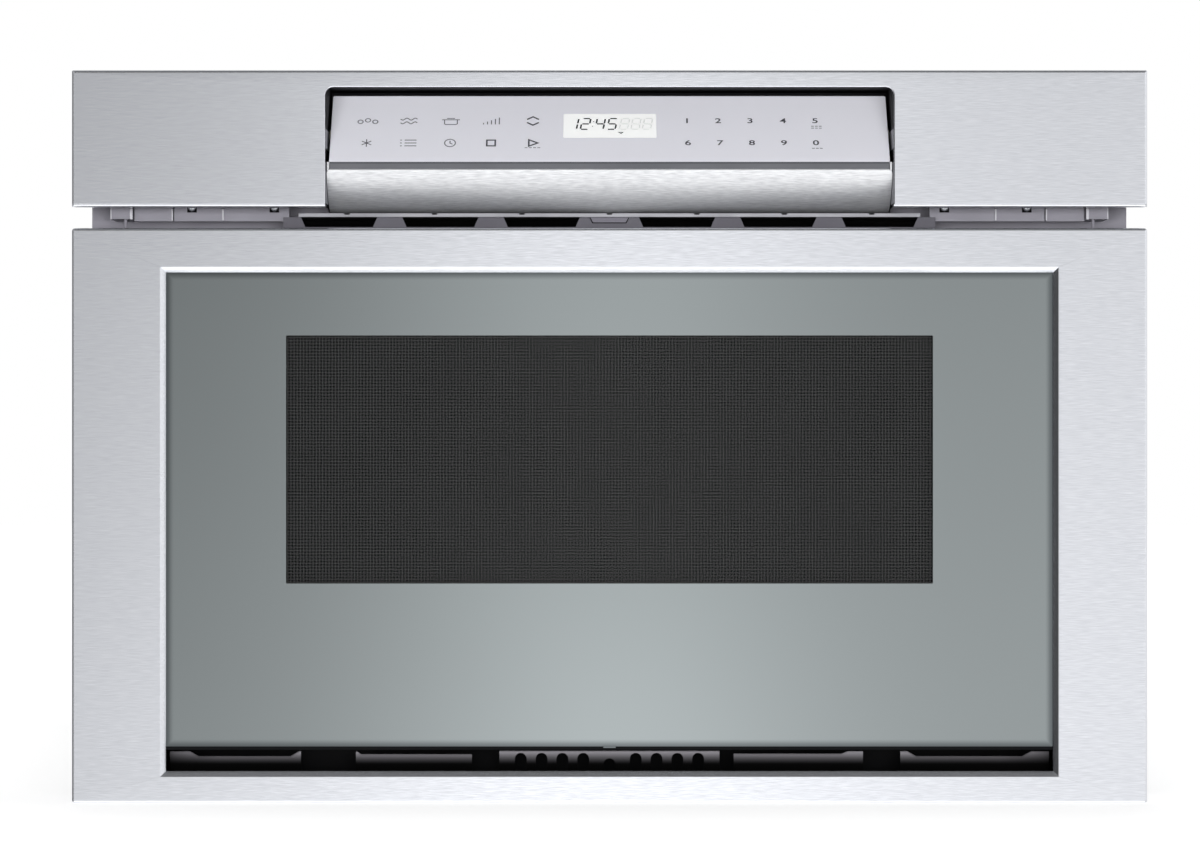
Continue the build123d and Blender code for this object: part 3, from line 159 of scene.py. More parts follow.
def soft_block(x: tuple[float, float], y: tuple[float, float], z: tuple[float, float], radius: float,
               plane: Plane = Plane.FRONT, steps: int = 3) -> Shell:
    """A block with rounded edges: rounded rectangles whose inset follows a quarter circle at either end.

    All its sizes are in millimetres.

    Args:
        x: Its two ends along X.
        y: Its two ends along Y.
        z: Its two ends along Z.
        radius: The radius of its edges.
        plane: The plane that its rings lie in.
        steps: Rings in each rounded end.

    Returns:
        The closed surface.
    """
    ranges = (sorted(x), sorted(y), sorted(z))
    a, b, depth = (ranges[axis] for axis in plane.value)
    swell = np.linspace(0, math.pi / 2, steps + 1)
    inset = radius * (1 - np.sin(swell))
    sink = radius * (1 - np.cos(swell))
    insets = np.concatenate([inset, inset[::-1]])
    depths = np.concatenate([depth[0] + sink, depth[1] - sink[::-1]])
    rings = [lay(rounded_outline((a[0] + cut, b[0] + cut), (a[1] - cut, b[1] - cut),
                                 max(radius - cut, radius / SHARPEST)) * MM, place * MM, plane)
             for cut, place in zip(insets, depths)]
    return skin(rings)


def prism(outline: np.ndarray, depths: tuple[float, float], plane: Plane) -> Shell:
    """A flat outline carried straight from one depth to another."""
    return skin([lay(outline, depths[0], plane), lay(outline, depths[1], plane)])


def blocks(lows: np.ndarray, highs: np.ndarray) -> Shell:
    """Many plain bars at once: each has the eight corners that its lowest and highest values make.

    Args:
        lows: The lowest corner of each bar, one row each.
        highs: The highest corner of each bar, one row each.

    Returns:
        All bars as one surface.
    """
    pick = np.array([[0, 0, 0], [1, 0, 0], [1, 1, 0], [0, 1, 0], [0, 0, 1], [1, 0, 1], [1, 1, 1], [0, 1, 1]])
    points = lows[:, None, :] * (1 - pick) + highs[:, None, :] * pick
    sides = np.array([[0, 3, 2, 1], [4, 5, 6, 7], [0, 1, 5, 4], [1, 2, 6, 5], [2, 3, 7, 6], [3, 0, 4, 7]])
    quads = sides[None] + np.arange(len(lows))[:, None, None] * 8
    return Shell(points.reshape(-1, 3), quads.reshape(-1, 4))


def make_piece(name: str, shells: list[Shell], finish: "Finish", body: str,
               replaces: tuple[str, ...] = (), crease: float = 32.0,
               edge_mm: float = 0.0) -> bpy.types.Object:
    """Makes one piece of the scene from its surfaces, at the origin, and fixes it to a body of the frame.

    Args:
        name: The piece's name.
        shells: Its surfaces.
        finish: What it is made of.
        body: The body that it moves with.
        replaces: Nodes of the frame that it takes the place of.
        crease: The angle in degrees past which an edge stays sharp.
        edge_mm: The small radius that such edges are rounded by, in millimetres.

    Returns:
        The finished object.
    """
    starts = np.cumsum([0] + [len(shell.points) for shell in shells[:-1]])
    points = np.concatenate([shell.points for shell in shells])
    quads = np.concatenate([shell.quads + start for shell, start in zip(shells, starts)])
    caps = [(cap + start).tolist() for shell, start in zip(shells, starts) for cap in shell.caps]
    mesh = bpy.data.meshes.new(name)
    mesh.from_pydata(points.tolist(), [], quads.tolist() + caps)
    work = bmesh.new()
    work.from_mesh(mesh)
    bmesh.ops.remove_doubles(work, verts=work.verts, dist=WELD)
    bmesh.ops.recalc_face_normals(work, faces=work.faces)
    work.to_mesh(mesh)
    work.free()
    mesh.polygons.foreach_set("use_smooth", np.ones(len(mesh.polygons), dtype=bool))
    mesh.set_sharp_from_angle(angle=math.radians(crease))
    piece = bpy.data.objects.new(name, mesh)
    bpy.context.scene.collection.objects.link(piece)
    mesh.materials.append(finish.material())
    if edge_mm:
        bevel = piece.modifiers.new("edges", "BEVEL")
        bevel.width, bevel.segments = edge_mm * MM, 2
        bevel.limit_method, bevel.angle_limit = "ANGLE", math.radians(crease + 3)
    flats = piece.modifiers.new("flat_faces", "WEIGHTED_NORMAL")
    flats.keep_sharp = True
    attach(piece, body)
    if replaces:
        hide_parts(*replaces)
    log.info("%s: %d faces, rides on %s", name, len(mesh.polygons), body)
    return piece


# ---- finishes -----------------------------------------------------------------------------------
def linear(code: str) -> tuple[float, float, float, float]:
    """Turns an sRGB hex colour to the linear values that shaders take.

    Args:
        code: The colour, such as "#7E7B82".

    Returns:
        Red, green, blue and an alpha of 1.
    """
    parts = [int(code[place:place + 2], 16) / 255 for place in (1, 3, 5)]
    curved = [part / 12.92 if part <= 0.04045 else ((part + 0.055) / 1.055) ** 2.4 for part in parts]
    return (*curved, 1.0)


def add_node(tree: bpy.types.NodeTree, kind: str, settings: dict | None = None,
             links: dict | None = None) -> bpy.types.Node:
    """Adds one node with its settings and what feeds it.

    Args:
        tree: The node tree that it goes into.
        kind: The node's type.
        settings: Properties in small letters, and input values by number or capitalised name.
        links: The socket that feeds each input, by number or name.

    Returns:
        The node.
    """
    made = tree.nodes.new(kind)
    for key, value in (settings or {}).items():
        if isinstance(key, str) and key.islower():
            setattr(made, key, value)
        else:
            made.inputs[key].default_value = value
    for key, socket in (links or {}).items():
        tree.links.new(socket, made.inputs[key])
    return made


@dataclass(frozen=True)
class Finish:
    """A real material with the way its surface was made; each kind adds its own pattern."""

    name: str
    colour: str
    roughness: float = 0.5
    metallic: float = 0.0
    shine: float = 0.5            # the usual strength of a mirror image on a clear coat; less for a sooty one

    def material(self) -> bpy.types.Material:
        """Makes the material of this finish once, and finds it again later.

        Returns:
            The material.
        """
        known = bpy.data.materials.get(self.name)
        if known is not None:
            return known
        material = bpy.data.materials.new(self.name)
        material.use_nodes = True
        tree = material.node_tree
        shader = next(node for node in tree.nodes if node.type == "BSDF_PRINCIPLED")
        shader.inputs["Base Color"].default_value = linear(self.colour)
        shader.inputs["Roughness"].default_value = self.roughness
        shader.inputs["Metallic"].default_value = self.metallic
        shader.inputs["Specular IOR Level"].default_value = self.shine
        self.dress(tree, shader)
        return material

    def dress(self, tree: bpy.types.NodeTree, shader: bpy.types.Node) -> None:
        """Adds the pattern of this kind of surface."""
        raise NotImplementedError

    def cloud(self, tree: bpy.types.NodeTree, size_mm: tuple[float, float, float],
              detail: float = 2.0) -> bpy.types.NodeSocket:
        """A cloudy pattern on the object's own coordinates, with cells of a real size.

        Args:
            tree: The material's tree.
            size_mm: How large a cell is along X, Y and Z.
            detail: How many finer layers it holds.

        Returns:
            Its value, about 0.5 on average.
        """
        place = add_node(tree, "ShaderNodeTexCoord")
        mapped = add_node(tree, "ShaderNodeMapping", {"Scale": tuple(1 / (size * MM) for size in size_mm)},
                          {"Vector": place.outputs["Object"]})
        noise = add_node(tree, "ShaderNodeTexNoise", {"Scale": 1.0, "Detail": detail},
                         {"Vector": mapped.outputs["Vector"]})
        return noise.outputs["Fac"]

    def vary(self, tree: bpy.types.NodeTree, shader: bpy.types.Node, pattern: bpy.types.NodeSocket,
             low: str = "", spread: tuple[float, float] = (0.3, 0.7), gloss: float = 0.0,
             depth_mm: float = 0.0) -> None:
        """Lets a pattern change the colour, the roughness and the height of a surface.

        Args:
            tree: The material's tree.
            shader: The shader that it feeds.
            pattern: The pattern's value.
            low: The colour where the pattern is low; the finish's own is where it is high.
            spread: The pattern's values between which it changes.
            gloss: How much rougher the low places are than the high ones.
            depth_mm: How deep the low places lie.
        """
        if low:
            ramp = add_node(tree, "ShaderNodeValToRGB", links={"Fac": pattern})
            for element, place, code in zip(ramp.color_ramp.elements, spread, (low, self.colour)):
                element.position = place
                element.color = linear(code)
            tree.links.new(ramp.outputs["Color"], shader.inputs["Base Color"])
        if gloss:
            scaled = add_node(tree, "ShaderNodeMapRange",
                              {"From Min": spread[0], "From Max": spread[1],
                               "To Min": self.roughness + gloss / 2,
                               "To Max": self.roughness - gloss / 2}, {"Value": pattern})
            tree.links.new(scaled.outputs["Result"], shader.inputs["Roughness"])
        if depth_mm:
            bump = add_node(tree, "ShaderNodeBump", {"Strength": BUMP, "Distance": depth_mm * MM},
                            {"Height": pattern})
            tree.links.new(bump.outputs["Normal"], shader.inputs["Normal"])


@dataclass(frozen=True)
class BrushedSteel(Finish):
    """Stainless sheet drawn through a belt grinder: scratches along X smear what it mirrors up and down."""

    metallic: float = 1.0
    dark: str = "#CCCED4"
    scratch_mm: tuple[float, float, float] = (8.0, 0.36, 0.36)  # real ones: 0.1 mm; as coarse as they show
    depth_mm: float = 0.0022
    smear: float = 0.8
    smear_turn: float = 0.25      # a quarter turn: across the scratches

    def dress(self, tree: bpy.types.NodeTree, shader: bpy.types.Node) -> None:
        """Adds the scratches to colour, roughness and height, and turns the smear across them.

        Args:
            tree: The material's tree.
            shader: Its surface shader.
        """
        self.vary(tree, shader, self.cloud(tree, self.scratch_mm, 4.0), low=self.dark, gloss=0.06,
                  depth_mm=self.depth_mm)
        shader.inputs["Anisotropic"].default_value = self.smear
        shader.inputs["Anisotropic Rotation"].default_value = self.smear_turn


@dataclass(frozen=True)
class SheetPaint(Finish):
    """Powder coat baked on sheet steel: an even colour with a faint orange-peel skin."""

    low: str = ""
    patch_mm: float = 38.0        # how wide a thinner place is
    peel_mm: float = 1.8
    depth_mm: float = 0.02

    def dress(self, tree: bpy.types.NodeTree, shader: bpy.types.Node) -> None:
        """Adds a thinner coat here and there, and the orange peel."""
        self.vary(tree, shader, self.cloud(tree, (self.patch_mm,) * 3, 3.0), low=self.low, gloss=0.12)
        self.vary(tree, shader, self.cloud(tree, (self.peel_mm,) * 3), depth_mm=self.depth_mm)


@dataclass(frozen=True)
class GalvanisedSheet(Finish):
    """Hot-dip zinc on steel: crystals a centimetre across that each mirror a little differently."""

    metallic: float = 1.0
    crystal_mm: float = 9.0
    wander: float = 0.6           # its edges wander in waves of this share of a crystal
    dark: str = "#8E9294"

    def dress(self, tree: bpy.types.NodeTree, shader: bpy.types.Node) -> None:
        """Adds the crystals, with edges that wander by half a crystal.

        Args:
            tree: The material's tree.
            shader: Its surface shader.
        """
        place = add_node(tree, "ShaderNodeTexCoord")
        warped = add_node(tree, "ShaderNodeVectorMath",
                          {"operation": "MULTIPLY_ADD", 1: (self.crystal_mm * MM / 2,) * 3},
                          {0: self.cloud(tree, (self.crystal_mm * self.wander,) * 3),
                           2: place.outputs["Object"]})
        cells = add_node(tree, "ShaderNodeTexVoronoi", {"Scale": 1 / (self.crystal_mm * MM)},
                         {"Vector": warped.outputs["Vector"]})
        shade = add_node(tree, "ShaderNodeSeparateColor", links={"Color": cells.outputs["Color"]})
        self.vary(tree, shader, shade.outputs["Red"], low=self.dark, spread=(0.0, 1.0), gloss=0.16)


@dataclass(frozen=True)
class Moulded(Finish):
    """Injection-moulded plastic: the grain of a spark-eroded mould."""

    patch_mm: float = 45.0        # how wide a glossier place is
    grain_mm: float = 0.8         # real grain is 0.1 mm; drawn as coarse as it shows
    depth_mm: float = 0.02

    def dress(self, tree: bpy.types.NodeTree, shader: bpy.types.Node) -> None:
        """Adds slow changes of gloss and the mould's grain."""
        self.vary(tree, shader, self.cloud(tree, (self.patch_mm,) * 3), gloss=0.12)
        self.vary(tree, shader, self.cloud(tree, (self.grain_mm,) * 3, 3.0), depth_mm=self.depth_mm)


@dataclass(frozen=True)
class WorkedMetal(Finish):
    """Stamped, drawn, rolled or plated metal: faint streaks of the tool."""

    metallic: float = 1.0
    dark: str = "#96989A"
    tarnish_mm: float = 30.0
    streak_mm: tuple[float, float, float] = (8.0, 1.2, 1.2)

    def dress(self, tree: bpy.types.NodeTree, shader: bpy.types.Node) -> None:
        """Adds a slow tarnish to the colour, and the tool's streaks to gloss and height.

        Args:
            tree: The material's tree.
            shader: Its surface shader.
        """
        tarnish = self.cloud(tree, (self.tarnish_mm,) * 3, 3.0)
        self.vary(tree, shader, tarnish, low=self.dark, spread=(0.25, 0.6))
        self.vary(tree, shader, self.cloud(tree, self.streak_mm, 3.0), gloss=0.14, depth_mm=0.005)


@dataclass(frozen=True)
class Enamel(Finish):
    """Baked cavity paint or glaze: smooth, with fine flecks."""

    fleck: str = "#9A9A9C"
    fleck_mm: float = 0.9
    wave_mm: float = 6.0

    def dress(self, tree: bpy.types.NodeTree, shader: bpy.types.Node) -> None:
        """Adds the flecks and a faint waviness.

        Args:
            tree: The material's tree.
            shader: Its surface shader.
        """
        flecks = self.cloud(tree, (self.fleck_mm,) * 3, 1.0)
        self.vary(tree, shader, flecks, low=self.fleck, spread=(0.28, 0.34))
        self.vary(tree, shader, self.cloud(tree, (self.wave_mm,) * 3), gloss=0.06, depth_mm=0.02)


@dataclass(frozen=True)
class MirrorGlass(Finish):
    """Float glass with a half-mirror coat behind: it mirrors in grey-green, and its darker edge is painted
    shade.
    """

    metallic: float = 1.0
    # the colour of the painted shade at the pane's edge
    edge: str = "#595E60"
    edge_mm: float = 4.5          # painted shade of the frame's wall reaches in from the pane's edge over this width
    half_mm: float = 250.0
    low_mm: float = 18.7
    high_mm: float = 286.0
    wave_mm: float = 150.0

    def dress(self, tree: bpy.types.NodeTree, shader: bpy.types.Node) -> None:
        """Paints shade into the coat by the distance to the nearest edge, and gives the pane its faint float
        waves.

        Args:
            tree: The material's tree.
            shader: Its surface shader.
        """
        place = add_node(tree, "ShaderNodeTexCoord")
        apart = add_node(tree, "ShaderNodeSeparateXYZ", links={"Vector": place.outputs["Object"]})
        sideways = add_node(tree, "ShaderNodeMath", {"operation": "ABSOLUTE"}, {0: apart.outputs["X"]})
        nearest = sideways.outputs["Value"]
        gaps = [add_node(tree, "ShaderNodeMath", {"operation": "SUBTRACT", 0: self.half_mm * MM},
                         {1: nearest}),
                add_node(tree, "ShaderNodeMath", {"operation": "SUBTRACT", 0: self.high_mm * MM},
                         {1: apart.outputs["Z"]}),
                add_node(tree, "ShaderNodeMath", {"operation": "SUBTRACT", 1: self.low_mm * MM},
                         {0: apart.outputs["Z"]})]
        least = gaps[0].outputs["Value"]
        for gap in gaps[1:]:
            least = add_node(tree, "ShaderNodeMath", {"operation": "MINIMUM"},
                             {0: least, 1: gap.outputs["Value"]}).outputs["Value"]
        share = add_node(tree, "ShaderNodeMapRange",
                         {"interpolation_type": "SMOOTHSTEP", "From Max": self.edge_mm * MM},
                         {"Value": least})
        # painted shade: the coat darkens towards every edge of the pane
        self.vary(tree, shader, share.outputs["Result"], low=self.edge, spread=(0.0, 1.0))
        self.vary(tree, shader, self.cloud(tree, (self.wave_mm,) * 3, 1.0), gloss=0.03, depth_mm=0.004)


@dataclass(frozen=True)
class ClearPane(Finish):
    """Clear glass seen through: mostly transparent, with a weak reflection."""

    alpha: float = 0.14
    smudge_mm: tuple[float, float, float] = (60.0, 60.0, 25.0)

    def dress(self, tree: bpy.types.NodeTree, shader: bpy.types.Node) -> None:
        """Makes the pane see-through, with the smudges of cleaning in its gloss."""
        shader.inputs["Alpha"].default_value = self.alpha
        self.vary(tree, shader, self.cloud(tree, self.smudge_mm, 3.0), gloss=0.05)


@dataclass(frozen=True)
class PaintedShadeFade(Finish):
    """Grey sheet steel with painted shade: full colour on its upper edge, fading to near black lower down and
    at its ends.
    """

    shade_colour: str = "#030303"
    dark_below_mm: float = 7.5          # below this height it is painted shade alone
    full_mm: float = 15.5
    shade_sides_mm: tuple[float, float] = (222.0, 250.0)     # painted shade darkens it between these distances from the middle
    end_share: float = 0.3
    peel_mm: float = 1.8

    def dress(self, tree: bpy.types.NodeTree, shader: bpy.types.Node) -> None:
        """Paints shade in by height and towards both ends, and adds its orange peel.

        Args:
            tree: The material's tree.
            shader: Its surface shader.
        """
        place = add_node(tree, "ShaderNodeTexCoord")
        apart = add_node(tree, "ShaderNodeSeparateXYZ", links={"Vector": place.outputs["Object"]})
        # painted shade: darker towards the bottom
        height = add_node(tree, "ShaderNodeMapRange",
                          {"From Min": self.dark_below_mm * MM, "From Max": self.full_mm * MM},
                          {"Value": apart.outputs["Z"]})
        strong = add_node(tree, "ShaderNodeMath", {"operation": "POWER", 1: 2.0},
                          {0: height.outputs["Result"]})
        # painted shade: darker towards both ends
        aside = add_node(tree, "ShaderNodeMath", {"operation": "ABSOLUTE"}, {0: apart.outputs["X"]})
        even = add_node(tree, "ShaderNodeMapRange",
                        {"From Min": self.shade_sides_mm[0] * MM, "From Max": self.shade_sides_mm[1] * MM, "To Min": 1.0,
                         "To Max": self.end_share}, {"Value": aside.outputs["Value"]})
        coat = add_node(tree, "ShaderNodeMath", {"operation": "MULTIPLY"},
                        {0: strong.outputs["Value"], 1: even.outputs["Result"]})
        self.vary(tree, shader, coat.outputs["Value"], low=self.shade_colour, spread=(0.0, 1.0))
        self.vary(tree, shader, self.cloud(tree, (self.peel_mm,) * 3), depth_mm=0.02)


@dataclass(frozen=True)
class Printed(Finish):
    """A printed film, ink or a display's cells: an even layer with a fine tooth."""

    glow: float = 0.0
    tooth_mm: float = 0.7

    def dress(self, tree: bpy.types.NodeTree, shader: bpy.types.Node) -> None:
        """Adds the layer's tooth, and light where it is lit from behind.

        Args:
            tree: The material's tree.
            shader: Its surface shader.
        """
        self.vary(tree, shader, self.cloud(tree, (self.tooth_mm,) * 3), gloss=0.06, depth_mm=0.003)
        if self.glow:
            shader.inputs["Emission Color"].default_value = linear(self.colour)
            shader.inputs["Emission Strength"].default_value = self.glow


# Stainless sheet, ground along X: pale and cool, with broad highlights smeared up and down.
STAINLESS = BrushedSteel("brushed_stainless_sheet", "#DBDDE2", 0.24)
# The same, bent and ground by hand: coarser streaks, and a soft roll from bright to dark.
STAINLESS_COVER = BrushedSteel("brushed_stainless_curved", "#F2F3F5", 0.5, metallic=0.66, dark="#D3D4D7",
                               scratch_mm=(6.0, 0.7, 0.7))
# Near-black painted shade behind the grille's openings, so that they look deep.
DUCT_PAINTED_SHADE = SheetPaint("duct_painted_shade_black", "#030303", 0.9)
# Powder coats of the hidden steelwork: even lavender greys. The tab and grille greys are darker copies of the
# steel grey: painted shade, darker the deeper they sit.
TAB_GREY_SHADED = SheetPaint("tab_grey_painted_shade", "#797780", 0.5, low="#727079")
SHADED_GREY = SheetPaint("grille_grey_painted_shade", "#64636A", 0.5, low="#5E5C63")
GREY_PAINT = SheetPaint("powder_coated_steel_grey", "#93919A", 0.42, low="#88868E")
# Paint rubbed thin on a bent edge: a pale line.
# Pale strips on the brackets' bent edges: a painted highlight.
EDGE_PAINTED_HIGHLIGHT = SheetPaint("sheet_edge_painted_highlight", "#C9C8CE", 0.35)
# Matt black powder coat: a dull skin that shows no highlight. The same black also stands as painted shade
# round the screw heads and the grille's middle tab.
BLACK_PAINT_AND_SHADE = SheetPaint("powder_coated_black_and_painted_shade", "#070708", 0.6, shine=0.2)
# Satin black under the glass: one faint grey line where it turns.
TRIM_PAINT = SheetPaint("satin_black_trim", "#07080A", 0.5, shine=0.12)
# Grey sheet with painted shade: tabs that fade to near black lower down and at their ends.
INLET_PAINTED_SHADE = PaintedShadeFade("inlet_steel_painted_shade", "#A3A0A6", 0.55, shine=0.05)
# Anodised aluminium strip: a satin line, lighter than paint and without sparkle.
LIP_METAL = WorkedMetal("satin_anodised_aluminium", "#BDBDC3", 0.35, dark="#ABABB1",
                        streak_mm=(20.0, 0.8, 0.8))
# Zinc-dipped casing sheet: a mosaic of light and dark crystals.
ZINC_SHEET = GalvanisedSheet("hot_dip_galvanised_steel", "#C2C5C7", 0.42, metallic=0.65, dark="#A9ADB0")
# Cold-rolled rail sections, zinc-plated: bluish and streaked along their length.
RAIL_STEEL = WorkedMetal("zinc_plated_rail_steel", "#B4B7B9", 0.32, streak_mm=(1.2, 40.0, 1.2))
# Bright-plated screws: small hard highlights round a dark recess.
SCREW_STEEL = WorkedMetal("bright_zinc_plated_screw", "#D6D8DC", 0.22, dark="#BFC1C5", streak_mm=(0.6,) * 3)
# Stamped aluminium: duller than steel, with the press's long marks.
STAMPED_ALUMINIUM = WorkedMetal("stamped_aluminium", "#B8B9BB", 0.38)
# Deep-drawn can: upright streaks from the die.
DRAWN_CAN = WorkedMetal("drawn_aluminium_can", "#A9ABAD", 0.34, dark="#8B8D90", streak_mm=(1.2, 1.2, 12.0))
# Varnished steel laminations: brown, uneven and slightly wet.
LAMINATION = SheetPaint("varnished_laminations", "#4A4038", 0.5, low="#3A312A", peel_mm=0.6, depth_mm=0.08)
# Baked grey cavity paint: smooth, with light flecks that hide crumbs.
CAVITY_PAINT = Enamel("baked_cavity_paint", "#8A8A8C", 0.38)
# Glazed glass ceramic of the tray: warm white, glossy, hardly flecked.
GLASS_CERAMIC = Enamel("glazed_glass_ceramic", "#E3E1DA", 0.16, fleck="#EFEDE8")
# Moulded ABS: the fine tooth of the mould breaks up every highlight; dark, mid grey and matt.
BLACK_MOULDING = Moulded("moulded_abs_black", "#101012", 0.48)
LINER_GREY = Moulded("moulded_abs_mid_grey", "#8E8F95", 0.5)
LINER_BLACK = Moulded("moulded_abs_matt_black", "#1B1B1D", 0.7, shine=0.2)
# Undyed engineering plastics: milky, from cream to ivory.
NYLON = Moulded("moulded_nylon_natural", "#D8D5C8", 0.42)
STIRRER_PLASTIC = Moulded("moulded_polypropylene_ivory", "#D2D0C6", 0.4)
LAMP_MOULDING = Moulded("moulded_glass_nylon_ivory", "#D6D2C2", 0.35)
# Solder mask over copper: a glossy green with the tracks' faint relief.
SOLDER_MASK = Moulded("solder_mask_green", "#1E5A36", 0.35, grain_mm=2.0)
# Silicone rubber: black, soft and without a clear highlight.
RUBBER = Moulded("silicone_rubber_black", "#121212", 0.62)
# Half-mirror coated float glass: a clean cool reflection, with painted shade as its dark border.
MIRROR_PANE = MirrorGlass("half_mirror_float_glass", "#858B8C", 0.09)
# Uncoated glass: a faint sheen over what lies behind it.
CLEAR_PANE = ClearPane("clear_float_glass", "#101214", 0.05)
INNER_PANE = ClearPane("clear_tempered_glass", "#3A4446", 0.06, alpha=0.3)
# Blackened wires over dark holes: a fine dark grey weave.
MESH_BLACK = SheetPaint("black_oxide_wires", "#383838", 0.55, peel_mm=0.5)
HOLE_BLACK = SheetPaint("screen_holes_in_shade", "#0B0B0B", 0.8, shine=0.1)
# Touch film printed from behind: an even, faintly lavender silver.
KEY_FILM = Printed("touch_film_silver_lavender", "#F3F3FB", 0.42)
# Moulded edge under the film: a grey band, darker in the joint above it.
PANEL_EDGE = SheetPaint("panel_edge_grey", "#66676C", 0.45, low="#5E5F64")
PANEL_JOINT = SheetPaint("panel_joint_dark_grey", "#47484C", 0.5)
# Backlit display film: whiter than the key film, because it shines a little.
DISPLAY_PANE = Printed("display_backlight_film", "#F6F7F6", 0.3, glow=0.27)
# Screen-print inks: soft grey for fine lines, near black for bold ones.
INK = Printed("screen_print_ink_grey", "#66666E", 0.5)
DARK_INK = Printed("screen_print_ink_dark", "#3E3E46", 0.5)
# Liquid crystal cells: crisp dark segments, and idle ones as pale ghosts.
SEGMENT = Printed("liquid_crystal_dark_segment", "#3A3D40", 0.4)
GHOST_SEGMENT = Printed("liquid_crystal_idle_segment", "#DDDFDE", 0.4, glow=0.2)

FINISH_OF_SLOT = {
    "stainless_front": STAINLESS, "painted_grey": GREY_PAINT, "lip_aluminium": LIP_METAL,
    "zinc_sheet": ZINC_SHEET, "black_painted_sheet": BLACK_PAINT_AND_SHADE, "rail_steel": RAIL_STEEL,
    "plated_screws": SCREW_STEEL, "cavity_paint": CAVITY_PAINT, "black_plastic": BLACK_MOULDING,
    "nylon": NYLON, "stirrer_plate": STIRRER_PLASTIC, "stirrer_metal": STAMPED_ALUMINIUM,
    "magnetron_metal": STAMPED_ALUMINIUM, "transformer_steel": LAMINATION, "can_metal": DRAWN_CAN,
    "board_green": SOLDER_MASK, "lamp_case": LAMP_MOULDING, "tinted_glass": MIRROR_PANE,
    "clear_glass": INNER_PANE, "mesh_black": HOLE_BLACK, "gasket_rubber": RUBBER,
    "plate_glass_ceramic": GLASS_CERAMIC, "key_face": KEY_FILM, "display": DISPLAY_PANE,
}
FINISH_OF_NODE = {"exhaust_grille": SHADED_GREY, "recess_liner": LINER_BLACK}


# ---- the photograph ------------------------------------------------------------------------------
@dataclass(frozen=True)
class Photo:
    """How the photograph maps to the object: straight on, with a known scale in the front plane."""

    width: float = 1200.0
    height: float = 855.0
    object_px: tuple[float, float] = (609.5, 70.0)     # where X = 0 and the fascia's top edge are
    mm_per_px: float = 0.5632
    distance: float = 2245.0
    front: float = -349.5
    top: float = 400.0

    @property
    def eye(self) -> np.ndarray:
        """Where the camera is, in millimetres."""
        return np.array([(self.width / 2 - self.object_px[0]) * self.mm_per_px, self.front - self.distance,
                         self.top - (self.height / 2 - self.object_px[1]) * self.mm_per_px])

    def rays(self, places_px: np.ndarray) -> np.ndarray:
        """Directions of the camera's rays: a pixel's distance from the middle, over that of the camera.

        Args:
            places_px: The pixels, one row each.

        Returns:
            Directions that are one millimetre deep each.
        """
        sideways = (places_px[:, 0] - self.width / 2) * self.mm_per_px / self.distance
        upwards = (self.height / 2 - places_px[:, 1]) * self.mm_per_px / self.distance
        return np.stack([sideways, np.ones_like(sideways), upwards], -1)


PHOTO = Photo()


